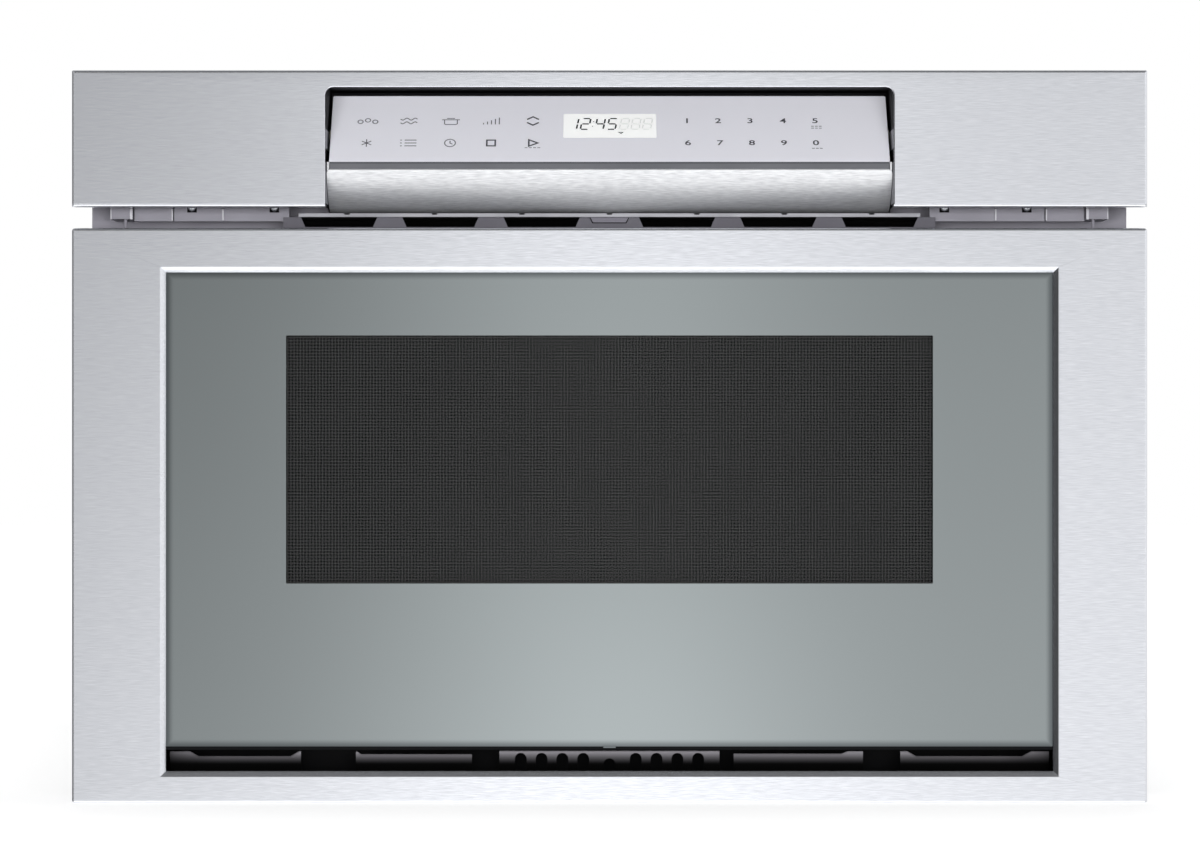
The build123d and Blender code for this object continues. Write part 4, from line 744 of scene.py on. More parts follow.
# ---- the stainless front ------------------------------------------------------------------------
@dataclass
class Fascia:
    """The stainless pan above the drawer: a front face with an opening for the panel, and folded sides."""

    half_width: float = 303.0
    low: float = 323.0
    high: float = 400.0
    front: float = -349.5
    back: float = -289.5
    sheet: float = 1.5
    corner: float = 1.6
    opening_half: float = 160.2
    opening_top: float = 390.5
    opening_corner: float = 4.5
    opening_rim: tuple = ((0.5, 0.0), (0.15, 0.15), (0.0, 0.5))       # how much wider it is, and how deep
    outer_round: float = 0.8      # the arch's corners, seen from the front
    inner_round: float = 0.5      # the same on the inside of the sheet
    bottom_fold: float = 9.0
    fold_inset: float = 1.0
    fold_edge: float = 0.3
    rear_rise: float = 4.0        # the side walls' lower edges rise towards the cabinet
    hem: float = 1.3              # the front's lower edge is rounded over by this much

    def arch(self, half: float, top: float, low: float, radius: float, steps: int = 6) -> np.ndarray:
        """An upside-down U: up the left side, round a corner, along the top and down the right side.

        Args:
            half: Its half width.
            top: Its height.
            low: Where its two ends are.
            radius: The radius of its two corners.
            steps: Points on each corner.

        Returns:
            Its points from lower left to lower right, in metres.
        """
        turn = np.linspace(math.pi, math.pi / 2, steps)
        left = np.stack([-half + radius + radius * np.cos(turn), top - radius + radius * np.sin(turn)], -1)
        left = np.concatenate([[[-half, low]], left])
        return np.concatenate([left, left[::-1] * np.array([-1, 1])]) * MM

    def build(self) -> None:
        """Carries the sheet's section round between the outer and the inner arch, and adds its folds."""
        wide, top, r, rise, low = (self.half_width, self.high, self.corner, self.low + self.rear_rise,
                                   self.low + self.hem)
        section = [(wide, top, rise, self.outer_round, self.back)]
        for turn in np.linspace(0, math.pi / 2, 5):
            cut = r - r * math.cos(turn)
            section.append((wide - cut, top - cut, low, self.outer_round,
                            self.front + r - r * math.sin(turn)))
        for grow, sink in (*self.opening_rim, (0.0, self.sheet)):
            section.append((self.opening_half + grow, self.opening_top + grow, low,
                            self.opening_corner + grow, self.front + sink))
        inside = (wide - self.sheet, top - self.sheet)
        section.append((*inside, low, self.inner_round, self.front + self.sheet))
        section.append((*inside, rise, self.inner_round, self.back))
        rings = [lay(self.arch(half, high, low, radius), y * MM, Plane.FRONT)
                 for half, high, low, radius, y in section]
        pan = skin(rings, closed=True, open_rings=True)
        fold = soft_block((self.fold_inset - wide, -self.opening_half),
                          (self.front + self.sheet, self.front + self.bottom_fold),
                          (self.low, self.low + self.sheet), self.fold_edge)
        make_piece("fascia_pan", [pan, fold, fold.mirrored()], STAINLESS, "root",
                   ("fascia",), edge_mm=0.35)
        hem = self.build_hem()
        make_piece("fascia_hem", [hem, hem.mirrored()], STAINLESS, "root")

    def build_hem(self) -> Shell:
        """The front's lower edge: a quarter circle under the face, carried along X and round the corner.

        Returns:
            The left half of it.
        """
        turn = np.linspace(0, math.pi / 2, 6)
        corner = np.linspace(0, math.pi / 2, 5)
        sides = np.concatenate([-self.half_width + self.corner * (1 - np.cos(corner)), [-self.opening_half]])
        sinks = np.concatenate([self.corner * (1 - np.sin(corner)), [0.0]])
        rings = []
        for side, sink in zip(sides, sinks):
            face = self.front + sink
            y = np.concatenate([[face], face + self.hem * (1 - np.cos(turn)),
                                [face + self.hem + self.sheet] * 2])
            z = np.concatenate([[self.low + self.hem], self.low + self.hem * (1 - np.sin(turn)),
                                [self.low, self.low + self.hem]])
            rings.append(lay(np.stack([y, z], -1) * MM, side * MM, Plane.SIDE))
        return skin(rings)


@dataclass
class DoorFront:
    """The drawer's front: its stainless frame, the mirror glass with its clear window, and the trim."""

    half_width: float = 303.0
    low: float = -13.0
    high: float = 311.0
    front: float = -349.5
    back: float = -291.5
    face: float = 4.0
    wall: float = 1.5
    corner: float = 1.6           # the fold's radius, and that of the four corners
    least_round: float = 0.3      # which shrinks to this on the face
    inner_round: float = 0.5
    window_half: float = 250.0
    window_low: float = 5.0
    window_high: float = 286.0
    window_round: tuple[float, float] = (0.15, 0.05)  # its corner radius, and what a millimetre of bevel adds
    bevel: float = 3.0
    bevel_turn: float = 12.0      # the bevel is slightly round: its slope turns by so many degrees
    glass_half: float = 253.5
    glass_low: float = 18.7
    glass_high: float = 289.5
    glass_front: float = -345.5
    glass_back: float = -340.8
    glass_round: float = 1.0
    screen_half: float = 182.5
    screen_low: float = 110.6
    screen_high: float = 250.6
    screen_round: float = 0.6
    pane_sink: float = 0.01       # the clear pane lies this far behind the border's face
    wire_layers: tuple = ((-338.55, -338.35), (-338.35, -338.15))     # upright and level wires, front to back
    wire_pitch: float = 1.8       # real ones are about 1 mm apart; drawn as coarse as they show
    wire: float = 0.5
    wire_margin: float = 0.4
    wire_past: float = 2.0        # how far they run on behind the border
    lug_half: float = 3.6         # the small lug under the glass
    lug_drop: float = 0.9
    lug_lap: float = 0.3
    lug_depths: tuple[float, float] = (-345.6, -344.7)
    lug_edge: float = 0.2
    trim_low: float = 16.8
    trim_back: float = -337.3
    trim_edge: float = 0.4

    def ring(self, half: float, low: float, high: float, radius: float, y: float) -> np.ndarray:
        """A rounded rectangle parallel to the front, at a depth."""
        return lay(rounded_outline((-half, low), (half, high), radius, 4) * MM, y * MM, Plane.FRONT)

    def build_frame(self) -> None:
        """Carries the frame's section round the window: side wall, rounded fold, face, bevel and back."""
        r, wall = self.corner, self.wall
        rings = [self.ring(self.half_width, self.low, self.high, r, self.back)]
        for turn in np.linspace(0, math.pi / 2, 5):
            cut = r - r * math.cos(turn)
            rings.append(self.ring(self.half_width - cut, self.low + cut, self.high - cut,
                                   max(r - cut, self.least_round), self.front + r - r * math.sin(turn)))
        start, end = (math.radians(45 + side * self.bevel_turn / 2) for side in (-1, 1))
        radius = self.bevel / (math.sin(end) - math.sin(start))
        turns = np.linspace(start, end, 4)
        steps = np.stack([self.bevel - radius * (np.sin(turns) - math.sin(start)),
                          radius * (math.cos(start) - np.cos(turns))], -1)
        for grow, sink in (*steps, (0.0, self.face)):
            rings.append(self.ring(self.window_half + grow, self.window_low - grow, self.window_high + grow,
                                   self.window_round[0] + grow * self.window_round[1], self.front + sink))
        for y in (self.front + self.face, self.back):
            rings.append(self.ring(self.half_width - wall, self.low + wall, self.high - wall,
                                   self.inner_round, y))
        make_piece("door_frame_dressed", [skin(rings, closed=True)], STAINLESS, "drawer",
                   ("door_frame",), edge_mm=0.25)

    def build_glass(self) -> None:
        """Makes the coated border round the clear window, and the clear pane that fills it."""
        outer = (self.glass_half, self.glass_low, self.glass_high, self.glass_round)
        inner = (self.screen_half, self.screen_low, self.screen_high, self.screen_round)
        rings = [self.ring(*outer, self.glass_back), self.ring(*outer, self.glass_front),
                 self.ring(*inner, self.glass_front), self.ring(*inner, self.glass_back)]
        lug = soft_block((-self.lug_half, self.lug_half), self.lug_depths,
                         (self.glass_low - self.lug_drop, self.glass_low + self.lug_lap), self.lug_edge)
        make_piece("door_glass_coated", [skin(rings, closed=True), lug], MIRROR_PANE, "drawer",
                   ("door_glass",))
        pane = skin([self.ring(*inner, self.glass_front + self.pane_sink),
                     self.ring(*inner, self.glass_back)])
        make_piece("door_glass_clear", [pane], CLEAR_PANE, "drawer")

    def build_trim(self) -> None:
        """Makes the satin black strip that the glass stands on."""
        strip = soft_block((-self.glass_half, self.glass_half), (self.glass_front, self.trim_back),
                           (self.trim_low, self.glass_low), self.trim_edge, Plane.SIDE)
        make_piece("door_trim_satin", [strip], TRIM_PAINT, "drawer",
                   ("door_trim_strip",))

    def build_screen(self) -> None:
        """Lays wires in both directions, one pitch apart; the upright ones lie in front of the level ones."""
        across = np.arange(-self.screen_half + self.wire_margin, self.screen_half, self.wire_pitch)
        upright = np.arange(self.screen_low + self.wire_margin, self.screen_high, self.wire_pitch)
        half, past, flat = self.wire / 2, self.wire_past, np.zeros_like(across)
        front, back = self.wire_layers[0]
        lows = [np.stack([across - half, flat + front, flat + self.screen_low - past], -1)]
        highs = [np.stack([across + half, flat + back, flat + self.screen_high + past], -1)]
        flat = np.zeros_like(upright)
        front, back = self.wire_layers[1]
        lows.append(np.stack([flat - self.screen_half - past, flat + front, upright - half], -1))
        highs.append(np.stack([flat + self.screen_half + past, flat + back, upright + half], -1))
        wires = blocks(np.concatenate(lows) * MM, np.concatenate(highs) * MM)
        make_piece("mesh_wires", [wires], MESH_BLACK, "drawer")

    def build(self) -> None:
        """Builds the front piece by piece."""
        self.build_frame()
        self.build_glass()
        self.build_trim()
        self.build_screen()


@dataclass
class AirInlet:
    """The sheet behind the slot under the glass: tabs with a dent, and the middle one with arches."""

    front: float = -333.5
    sheet: float = 1.2
    foot: float = 14.0
    foot_edge: float = 0.3
    low: float = -11.5
    half: float = 253.0
    top: float = 15.2
    edge_round: float = 1.4
    arch_half: float = 3.35
    arch_pitch: float = 11.8
    arch_shift: float = 3.1       # the middle arch has this much more room on either side
    arches_a_side: int = 4
    jamb: float = 0.02            # how much wider an arch is at its foot
    arch_drop: float = 1.1
    middle_drop: float = 4.2
    middle_half: float = 62.4
    lap: float = 0.2              # how far the walls end above the foot's underside
    # left end, right end, and the dent in the top edge as pairs of place and drop
    tabs: tuple = ((-249.3, -175.0, ((-238.0, 0.2), (-233.0, 3.0), (-181.0, 3.0), (-176.0, 0.2))),
                   (-143.8, -78.0, ((-143.0, 0.4), (-141.0, 1.9), (-78.0, 1.9))),
                   (70.5, 143.8, ((70.5, 1.6), (131.5, 1.6), (135.5, 0.2))),
                   (165.0, 249.3, ((169.0, 0.2), (174.0, 3.0), (234.0, 3.0), (239.5, 0.2))))

    def wall(self, across: np.ndarray, tops: np.ndarray, lows: np.ndarray) -> Shell:
        """A sheet between two edges: place x runs along it, and its height goes from lows(x) to tops(x).

        Args:
            across: Places along X, in millimetres.
            tops: The upper edge's height at each.
            lows: The lower edge's height at each.

        Returns:
            The closed surface, with its upper front edge rounded back.
        """
        turn = np.linspace(0, math.pi / 2, 4)
        sinks = np.concatenate([[0.0], self.edge_round * (1 - np.cos(turn)), [self.sheet, self.sheet]])
        drops = np.concatenate([[math.inf], self.edge_round * (1 - np.sin(turn)), [0.0, math.inf]])
        rings = [lay(np.stack([across, np.maximum(tops - drop, lows)], -1) * MM, (self.front + sink) * MM,
                     Plane.FRONT) for sink, drop in zip(np.minimum(sinks, self.sheet), drops)]
        return skin(rings, closed=True, open_rings=True)

    def arched(self, half: float) -> Shell:
        """The middle tab: its lower edge jumps up to a half circle over each arch.

        Args:
            half: The tab's half width.

        Returns:
            The closed surface.
        """
        turn = np.linspace(math.pi, 0, 11)
        floor, foot = self.low + self.lap, self.arch_half + self.jamb
        across, lows = [np.array([-half])], [np.array([floor])]
        for index in range(-self.arches_a_side, self.arches_a_side + 1):
            middle = index * self.arch_pitch + np.sign(index) * self.arch_shift
            drop = self.arch_drop if index else self.middle_drop
            across += [[middle - foot], middle + self.arch_half * np.cos(turn), [middle + foot]]
            lows += [[floor], self.top - drop - self.arch_half + self.arch_half * np.sin(turn), [floor]]
        places = np.concatenate([*across, [half]])
        return self.wall(places, np.full_like(places, self.top), np.concatenate([*lows, [floor]]))

    def build(self) -> None:
        """Builds the middle tab with its arches, the others with their dents, and the foot under them."""
        shells = [self.arched(self.middle_half)]
        for left, right, dents in self.tabs:
            places, drops = np.array(dents).T
            across = np.array([left, *[place for place in places if left < place < right], right])
            tops = self.top - np.interp(across, places, drops)
            shells.append(self.wall(across, tops, np.full_like(across, self.low + self.lap)))
        shells.append(soft_block((-self.half, self.half), (self.front, self.front + self.foot),
                                 (self.low, self.low + self.sheet), self.foot_edge, Plane.SIDE))
        # its finish paints shade over the tabs' lower part and their ends
        make_piece("air_inlet_sheet", shells, INLET_PAINTED_SHADE, "drawer", ("door_vent_plate",),
                   crease=50.0)


# ---- the control panel --------------------------------------------------------------------------
class Mark(Enum):
    """The plain pictures on the touch film, each as lines on a field six by five millimetres."""

    KERNELS = "kernels"
    WAVES = "waves"
    POT = "pot"
    BARS = "bars"
    CHEVRONS = "chevrons"
    FLAKE = "flake"
    LIST = "list"
    CLOCK = "clock"
    SQUARE = "square"
    PLAY = "play"

    def lines(self) -> list[tuple[np.ndarray, bool]]:
        """Draws the picture from circles, waves and straight runs.

        Returns:
            Its lines, each with whether it is closed.
        """
        turn = np.linspace(0, 2 * math.pi, 17)[:-1]
        circle = np.stack([np.cos(turn), np.sin(turn)], -1)
        if self is Mark.KERNELS:
            places = ((-3.0, 0.5), (0.0, -0.4), (3.0, 0.5))
            return [(circle * 1.05 + np.array(place), True) for place in places]
        if self is Mark.WAVES:
            x = np.linspace(-3.4, 3.4, 17)
            return [(np.stack([x, 0.6 * np.sin(x * 1.85) + shift], -1), False) for shift in (-1.1, 1.1)]
        if self is Mark.POT:
            body = np.array([(-2.6, -0.6), (-2.6, 1.7), (-2.1, 2.1), (2.1, 2.1), (2.6, 1.7), (2.6, -0.6)])
            return [(body, False), (np.array([(-3.6, -0.7), (3.6, -0.7)]), False),
                    (np.array([(-1.6, -1.5), (1.6, -1.5)]), False)]
        if self is Mark.BARS:
            places = (-3.2, -1.6, 0.0, 1.6, 3.2)
            return [(np.array([(x, 2.0), (x, 1.2 - 0.5 * (x + 3.2))]), False) for x in places]
        if self is Mark.CHEVRONS:
            up = np.array([(-2.4, -0.9), (0.0, -2.5), (2.4, -0.9)])
            return [(up, False), (up * np.array([1, -1]), False)]
        if self is Mark.FLAKE:
            ends = np.array([[-2.2], [2.2]])
            return [(np.array([(math.cos(a), math.sin(a))]) * ends, False) for a in (0.52, 1.57, 2.62)]
        if self is Mark.LIST:
            rows = [(np.array([(-1.6, y), (3.2, y)]), False) for y in (-1.7, 0.0, 1.7)]
            return rows + [(np.array([(-3.4, y), (-2.7, y)]), False) for y in (-1.7, 0.0, 1.7)]
        if self is Mark.CLOCK:
            return [(circle * 2.2, True), (np.array([(0.0, -1.3), (0.0, 0.1), (1.0, 0.7)]), False)]
        if self is Mark.SQUARE:
            return [(np.array([(-1.7, -1.7), (1.7, -1.7), (1.7, 1.7), (-1.7, 1.7)]), True)]
        return [(np.array([(-1.5, -1.9), (2.1, 0.0), (-1.5, 1.9)]), True)]


@dataclass
class KeyPanel:
    """The tilting panel: touch film with numerals and marks, display, dark edge and curved cover."""

    half_width: float = 158.2
    top: tuple[float, float] = (-309.7, 388.7)
    foot: tuple[float, float] = (-347.3, 348.5)
    thick: float = 2.5
    film_corner: float = 1.0
    film_edge: float = 0.25
    least_corner: float = 0.05    # a plate's corners stay at least this round
    strip_inset: float = 0.4      # the dark edge under the film, and the darker joint at its top
    strip: tuple = ((-347.9, -347.4), (343.6, 347.5), 0.2)            # depths, heights and edge radius
    joint: tuple = ((-347.85, -347.4), (347.3, 348.4), 0.1)
    hinge: tuple[float, float] = (-309.7, 366.0)
    cover_radius: float = 45.0
    cover_half: float = 159.5
    cover_start: float = -29.4
    cover_end: float = -131.8
    cover_sheet: float = 1.0
    cover_corner: float = 2.6
    cover_even: float = 1.4       # its even rows start this many corner radii from the edge
    tab_right: float = 159.3      # the cover's two small ears beside the dark edge
    tab_width: float = 1.3
    tab: tuple = ((-348.3, -346.2), (343.4, 348.4), 0.3)
    display_half: float = 26.3
    display_x: float = 0.3
    display_rows_px: tuple[float, float] = (114.1, 137.4)
    display_rises: tuple[float, float] = (-0.5, 0.05)
    display_corner: float = 0.6
    cell_rise: float = 0.06       # the display's cells, out from the film
    ink_rise: float = 0.04
    mitre: float = 0.4            # the least cosine at a line's corner, so that no tip runs far out
    # where the photograph shows the numerals, the marks and the digits of the display, in its pixels
    numeral_px: tuple = ((687, 121), (718, 121), (750, 121), (783, 121), (815, 121),
                         (688, 143), (720, 143), (752, 143), (784, 143), (816, 143))
    numeral_size: float = 5.6     # the letter size whose digits are 4 mm high
    numeral_stretch: float = 1.33
    numeral_weight: float = 0.07
    numeral_half: float = 0.01    # half the text's thickness, by which its face is told from its back
    fine_line: float = 0.6
    bold_line: float = 0.92
    dash: tuple[float, float] = (1.6, 0.5)            # length and width of the dashes under some keys
    digit_dashes: tuple = ((-1.6, 0.6, 2.8), 4.4)     # where they are, across and down from the key
    second_row: float = 1.6
    play_dashes: tuple = ((-3.6, -1.2, 1.2, 3.6), 3.9)
    mark_px: tuple = ((368, 121), (409, 121), (451, 121), (491.5, 121), (533, 121),
                      (366.5, 143), (408.5, 143), (450, 143), (491, 143), (532.5, 143))
    mark_scale: float = 1.4
    digit_px: tuple = ((573.6, 124), (585.6, 124), (600.2, 124), (612.3, 124))
    ghost_px: tuple = ((624.6, 124), (636, 124), (647.5, 124))
    colon_px: tuple[float, float] = (593.2, 124)
    pointer_px: tuple[float, float] = (621.0, 133.0)
    digit_size: tuple[float, float] = (4.6, 9.0)
    digit_slant: float = 0.16
    digit_line: float = 1.0
    digit_gap: float = 0.45       # between the ends of two segments, across and down
    colon_dots: tuple = ((0.3, -1.9), (-0.3, 1.9))
    colon_dot: tuple[float, float] = (0.7, 0.7)       # height and width
    pointer: tuple = ((-1.2, -0.5), (1.2, -0.5), (0.0, 0.6))
    pointer_line: float = 0.5

    @property
    def slope(self) -> np.ndarray:
        """The film's fall from its top edge to its foot, in Y and Z."""
        return np.array(self.foot) - np.array(self.top)

    def place(self, flat: np.ndarray, rise: float) -> np.ndarray:
        """Puts points of the film's own plane in space: top + down * slope + rise * its normal.

        Args:
            flat: The points, across and down the slope.
            rise: How far they stand out from the film.

        Returns:
            The points in metres, one row each.
        """
        down = self.slope / np.linalg.norm(self.slope)
        out = np.array([down[1], -down[0]])
        side = np.array(self.top) + flat[:, 1:2] * down + rise * out
        return np.column_stack([flat[:, 0], side]) * MM

    def from_photo(self, places_px: tuple) -> np.ndarray:
        """Finds where the camera's rays through some pixels meet the film, across and down in millimetres.

        Args:
            places_px: The pixels, each as a pair.

        Returns:
            One row of across and down for each.
        """
        rays = PHOTO.rays(np.array(places_px, dtype=float))
        down = self.slope / np.linalg.norm(self.slope)
        apart = np.array(self.top) - PHOTO.eye[1:]
        along = (apart[0] * down[1] - apart[1] * down[0]) / (rays[:, 1] * down[1] - rays[:, 2] * down[0])
        reach = (along * rays[:, 1] - apart[0]) / down[0]
        return np.stack([PHOTO.eye[0] + along * rays[:, 0], reach], -1)

    def plate(self, low: tuple[float, float], high: tuple[float, float], rises: tuple[float, float],
              radius: float, edge: float = 0.0) -> Shell:
        """A flat plate on the slope: rounded rectangles at two heights, the upper ones inset by its edge.

        Args:
            low: Its first corner, across and down.
            high: Its second corner.
            rises: Its underside and its face, out from the film.
            radius: Its corners' radius.
            edge: The radius of its face's edge.

        Returns:
            The closed surface.
        """
        rings = [self.place(rounded_outline(low, high, radius), rises[0])]
        for turn in np.linspace(0, math.pi / 2, 4) if edge else [math.pi / 2]:
            cut = edge * (1 - math.cos(turn)) if edge else 0.0
            outline = rounded_outline((low[0] + cut, low[1] + cut), (high[0] - cut, high[1] - cut),
                                      max(radius - cut, self.least_corner))
            rings.append(self.place(outline, rises[1] - edge * (1 - math.sin(turn))))
        return skin(rings)

    def stroke(self, path: np.ndarray, width: float, closed: bool = False, base: float = 0.0) -> Shell:
        """A printed line: a flat band carried along a path, each corner mitred by the mean of its directions.

        Args:
            path: The line's points, across and down.
            width: How wide it is.
            closed: Whether its end joins its start.
            base: What it is printed on, out from the film.

        Returns:
            The thin closed surface.
        """
        before, after = np.roll(path, 1, 0), np.roll(path, -1, 0)
        if not closed:
            before[0], after[-1] = 2 * path[0] - path[1], 2 * path[-1] - path[-2]
        ahead = (after - path) / np.linalg.norm(after - path, axis=1)[:, None]
        behind = (path - before) / np.linalg.norm(path - before, axis=1)[:, None]
        along = (ahead + behind) / np.linalg.norm(ahead + behind, axis=1)[:, None]
        stretch = 1 / np.clip(np.sum(along * ahead, axis=1), self.mitre, 1)
        aside = np.stack([-along[:, 1], along[:, 0]], -1) * (width / 2 * stretch)[:, None]
        face = base + self.ink_rise
        corners = [self.place(path - aside, base), self.place(path + aside, base),
                   self.place(path + aside, face), self.place(path - aside, face)]
        return skin(list(np.stack(corners, axis=1)), closed=closed)

    def build_face(self) -> None:
        """Makes the film's plate with a rounded edge, and the dark edge that shows under it."""
        length = float(np.linalg.norm(self.slope))
        plate = self.plate((-self.half_width, 0.0), (self.half_width, length), (-self.thick, 0.0),
                           self.film_corner, self.film_edge)
        make_piece("key_film", [plate], KEY_FILM, "control_panel", ("panel_face",))
        half = self.half_width - self.strip_inset
        for name, sizes, finish in (("panel_edge_strip", self.strip, PANEL_EDGE),
                                    ("panel_edge_joint", self.joint, PANEL_JOINT)):
            make_piece(name, [soft_block((-half, half), *sizes, Plane.SIDE)], finish, "control_panel")

    def build_cover(self) -> None:
        """Bends a sheet round the hinge: angle and place x give a point on a cylinder with round corners."""
        start, end = math.radians(self.cover_start), math.radians(self.cover_end)
        bite = self.cover_corner * (1 - np.cos(np.linspace(0, math.pi / 2, 7)))
        angles = np.concatenate([start - bite / self.cover_radius,
                                 np.linspace(start - self.cover_corner * self.cover_even / self.cover_radius,
                                             end, 36)])
        reach = np.clip(self.cover_corner - np.abs(angles - start) * self.cover_radius, 0, self.cover_corner)
        half = self.cover_half - self.cover_corner + np.sqrt(self.cover_corner ** 2 - reach ** 2)
        across = np.linspace(-1, 1, 9)
        walls = []
        for radius in (self.cover_radius, self.cover_radius - self.cover_sheet):
            x = half[:, None] * across[None, :]
            y = (self.hinge[0] - radius * np.cos(angles))[:, None] + 0 * x
            z = (self.hinge[1] + radius * np.sin(angles))[:, None] + 0 * x
            walls.append(np.stack([x, y, z], -1))
        loop = np.concatenate([walls[0], walls[1][:, ::-1]], axis=1) * MM
        tab = soft_block((self.tab_right - self.tab_width, self.tab_right), *self.tab)
        make_piece("panel_cover_sheet", [skin(list(loop)), tab, tab.mirrored()], STAINLESS_COVER,
                   "control_panel", ("panel_cover",), crease=50.0, edge_mm=0.25)

    def build_numerals(self) -> None:
        """Prints the ten plain numerals: text is made a mesh, and its points are then laid on the film."""
        shells = []
        for label, spot in zip("1234567890", self.from_photo(self.numeral_px)):
            curve = bpy.data.curves.new("numeral", "FONT")
            curve.body, curve.size = label, self.numeral_size
            curve.align_x, curve.align_y = "CENTER", "CENTER"
            curve.extrude, curve.offset = self.numeral_half, self.numeral_weight
            holder = bpy.data.objects.new("numeral", curve)
            bpy.context.scene.collection.objects.link(holder)
            bpy.context.view_layer.update()
            depsgraph = bpy.context.evaluated_depsgraph_get()
            mesh = bpy.data.meshes.new_from_object(holder.evaluated_get(depsgraph))
            points = np.zeros(len(mesh.vertices) * 3)
            mesh.vertices.foreach_get("co", points)
            points = points.reshape(-1, 3)
            flat = np.stack([points[:, 0] * self.numeral_stretch, -points[:, 1]], -1) + spot
            low, high = self.place(flat, 0.0), self.place(flat, self.ink_rise)
            laid = np.where(points[:, 2:3] > 0, high, low)
            shells.append(Shell(laid, np.zeros((0, 4), dtype=int),
                                [np.array(face.vertices) for face in mesh.polygons]))
            bpy.data.objects.remove(holder)
            bpy.data.curves.remove(curve)
            bpy.data.meshes.remove(mesh)
        make_piece("numerals", shells, DARK_INK, "control_panel")

    def dashes(self, shifts: tuple[float, ...], drop: float, spot: np.ndarray) -> list[Shell]:
        """A row of dashes under a key.

        Args:
            shifts: Where their middles are, across from the key's.
            drop: How far down from it they are.
            spot: The key's middle, across and down.

        Returns:
            One surface for each.
        """
        line = np.array([(-self.dash[0] / 2, drop), (self.dash[0] / 2, drop)])
        return [self.stroke(line + (shift, 0.0) + spot, self.dash[1]) for shift in shifts]

    def build_marks(self) -> None:
        """Prints the key marks in fine lines, those of the keys for more and less, stop and start bolder."""
        fine, bold = [], []
        bold_marks = (Mark.CHEVRONS, Mark.SQUARE, Mark.PLAY)
        for mark, spot in zip(Mark, self.from_photo(self.mark_px)):
            into, width = (bold, self.bold_line) if mark in bold_marks else (fine, self.fine_line)
            into += [self.stroke(path * self.mark_scale + spot, width, closed)
                     for path, closed in mark.lines()]
        five, zero, play = self.from_photo((self.numeral_px[4], self.numeral_px[9], self.mark_px[9]))
        shifts, drop = self.digit_dashes
        fine += self.dashes(shifts, drop, five) + self.dashes(shifts, drop + self.second_row, five)
        fine += self.dashes(shifts, drop, zero) + self.dashes(*self.play_dashes, play)
        make_piece("key_marks_fine", fine, INK, "control_panel")
        make_piece("key_marks_bold", bold, DARK_INK, "control_panel")

    def digit(self, lit: str, spot: np.ndarray) -> list[Shell]:
        """One digit of seven slanted segments; a letter from a to g names each one that is shown.

        Args:
            lit: The segments' letters.
            spot: The digit's middle, across and down.

        Returns:
            One surface for each segment.
        """
        w, h, gap = self.digit_size[0] / 2, self.digit_size[1] / 2, self.digit_gap
        ends = {"a": ((gap - w, -h), (w - gap, -h)), "b": ((w, gap - h), (w, -gap)),
                "c": ((w, gap), (w, h - gap)), "d": ((gap - w, h), (w - gap, h)),
                "e": ((-w, gap), (-w, h - gap)), "f": ((-w, gap - h), (-w, -gap)),
                "g": ((gap - w, 0), (w - gap, 0))}
        lines = [np.array(ends[letter], dtype=float) for letter in lit]
        for line in lines:
            line[:, 0] -= line[:, 1] * self.digit_slant
        return [self.stroke(line + spot, self.digit_line, base=self.cell_rise) for line in lines]

    def build_display(self) -> None:
        """Makes the lit pane, the time on it in plain digits, and the idle digits beside that."""
        x, half = self.display_x, self.display_half
        rows = self.from_photo(tuple((PHOTO.object_px[0], row) for row in self.display_rows_px))[:, 1]
        pane = self.plate((x - half, rows[0]), (x + half, rows[1]), self.display_rises, self.display_corner)
        make_piece("display_pane", [pane], DISPLAY_PANE, "control_panel", ("display_window",))
        shown = [part for lit, spot in zip(("bc", "abged", "fgbc", "afgcd"), self.from_photo(self.digit_px))
                 for part in self.digit(lit, spot)]
        colon, pointer = self.from_photo((self.colon_px, self.pointer_px))
        tall, wide = self.colon_dot
        dot = np.array([(0.0, -tall / 2), (0.0, tall / 2)])
        shown += [self.stroke(dot + place + colon, wide, base=self.cell_rise) for place in self.colon_dots]
        shown.append(self.stroke(np.array(self.pointer) + pointer, self.pointer_line, True, self.cell_rise))
        make_piece("display_digits", shown, SEGMENT, "control_panel")
        idle = [part for spot in self.from_photo(self.ghost_px) for part in self.digit("abcdefg", spot)]
        make_piece("display_idle_digits", idle, GHOST_SEGMENT, "control_panel")

    def build(self) -> None:
        """Builds the panel piece by piece."""
        self.build_face()
        self.build_cover()
        self.build_numerals()
        self.build_marks()
        self.build_display()


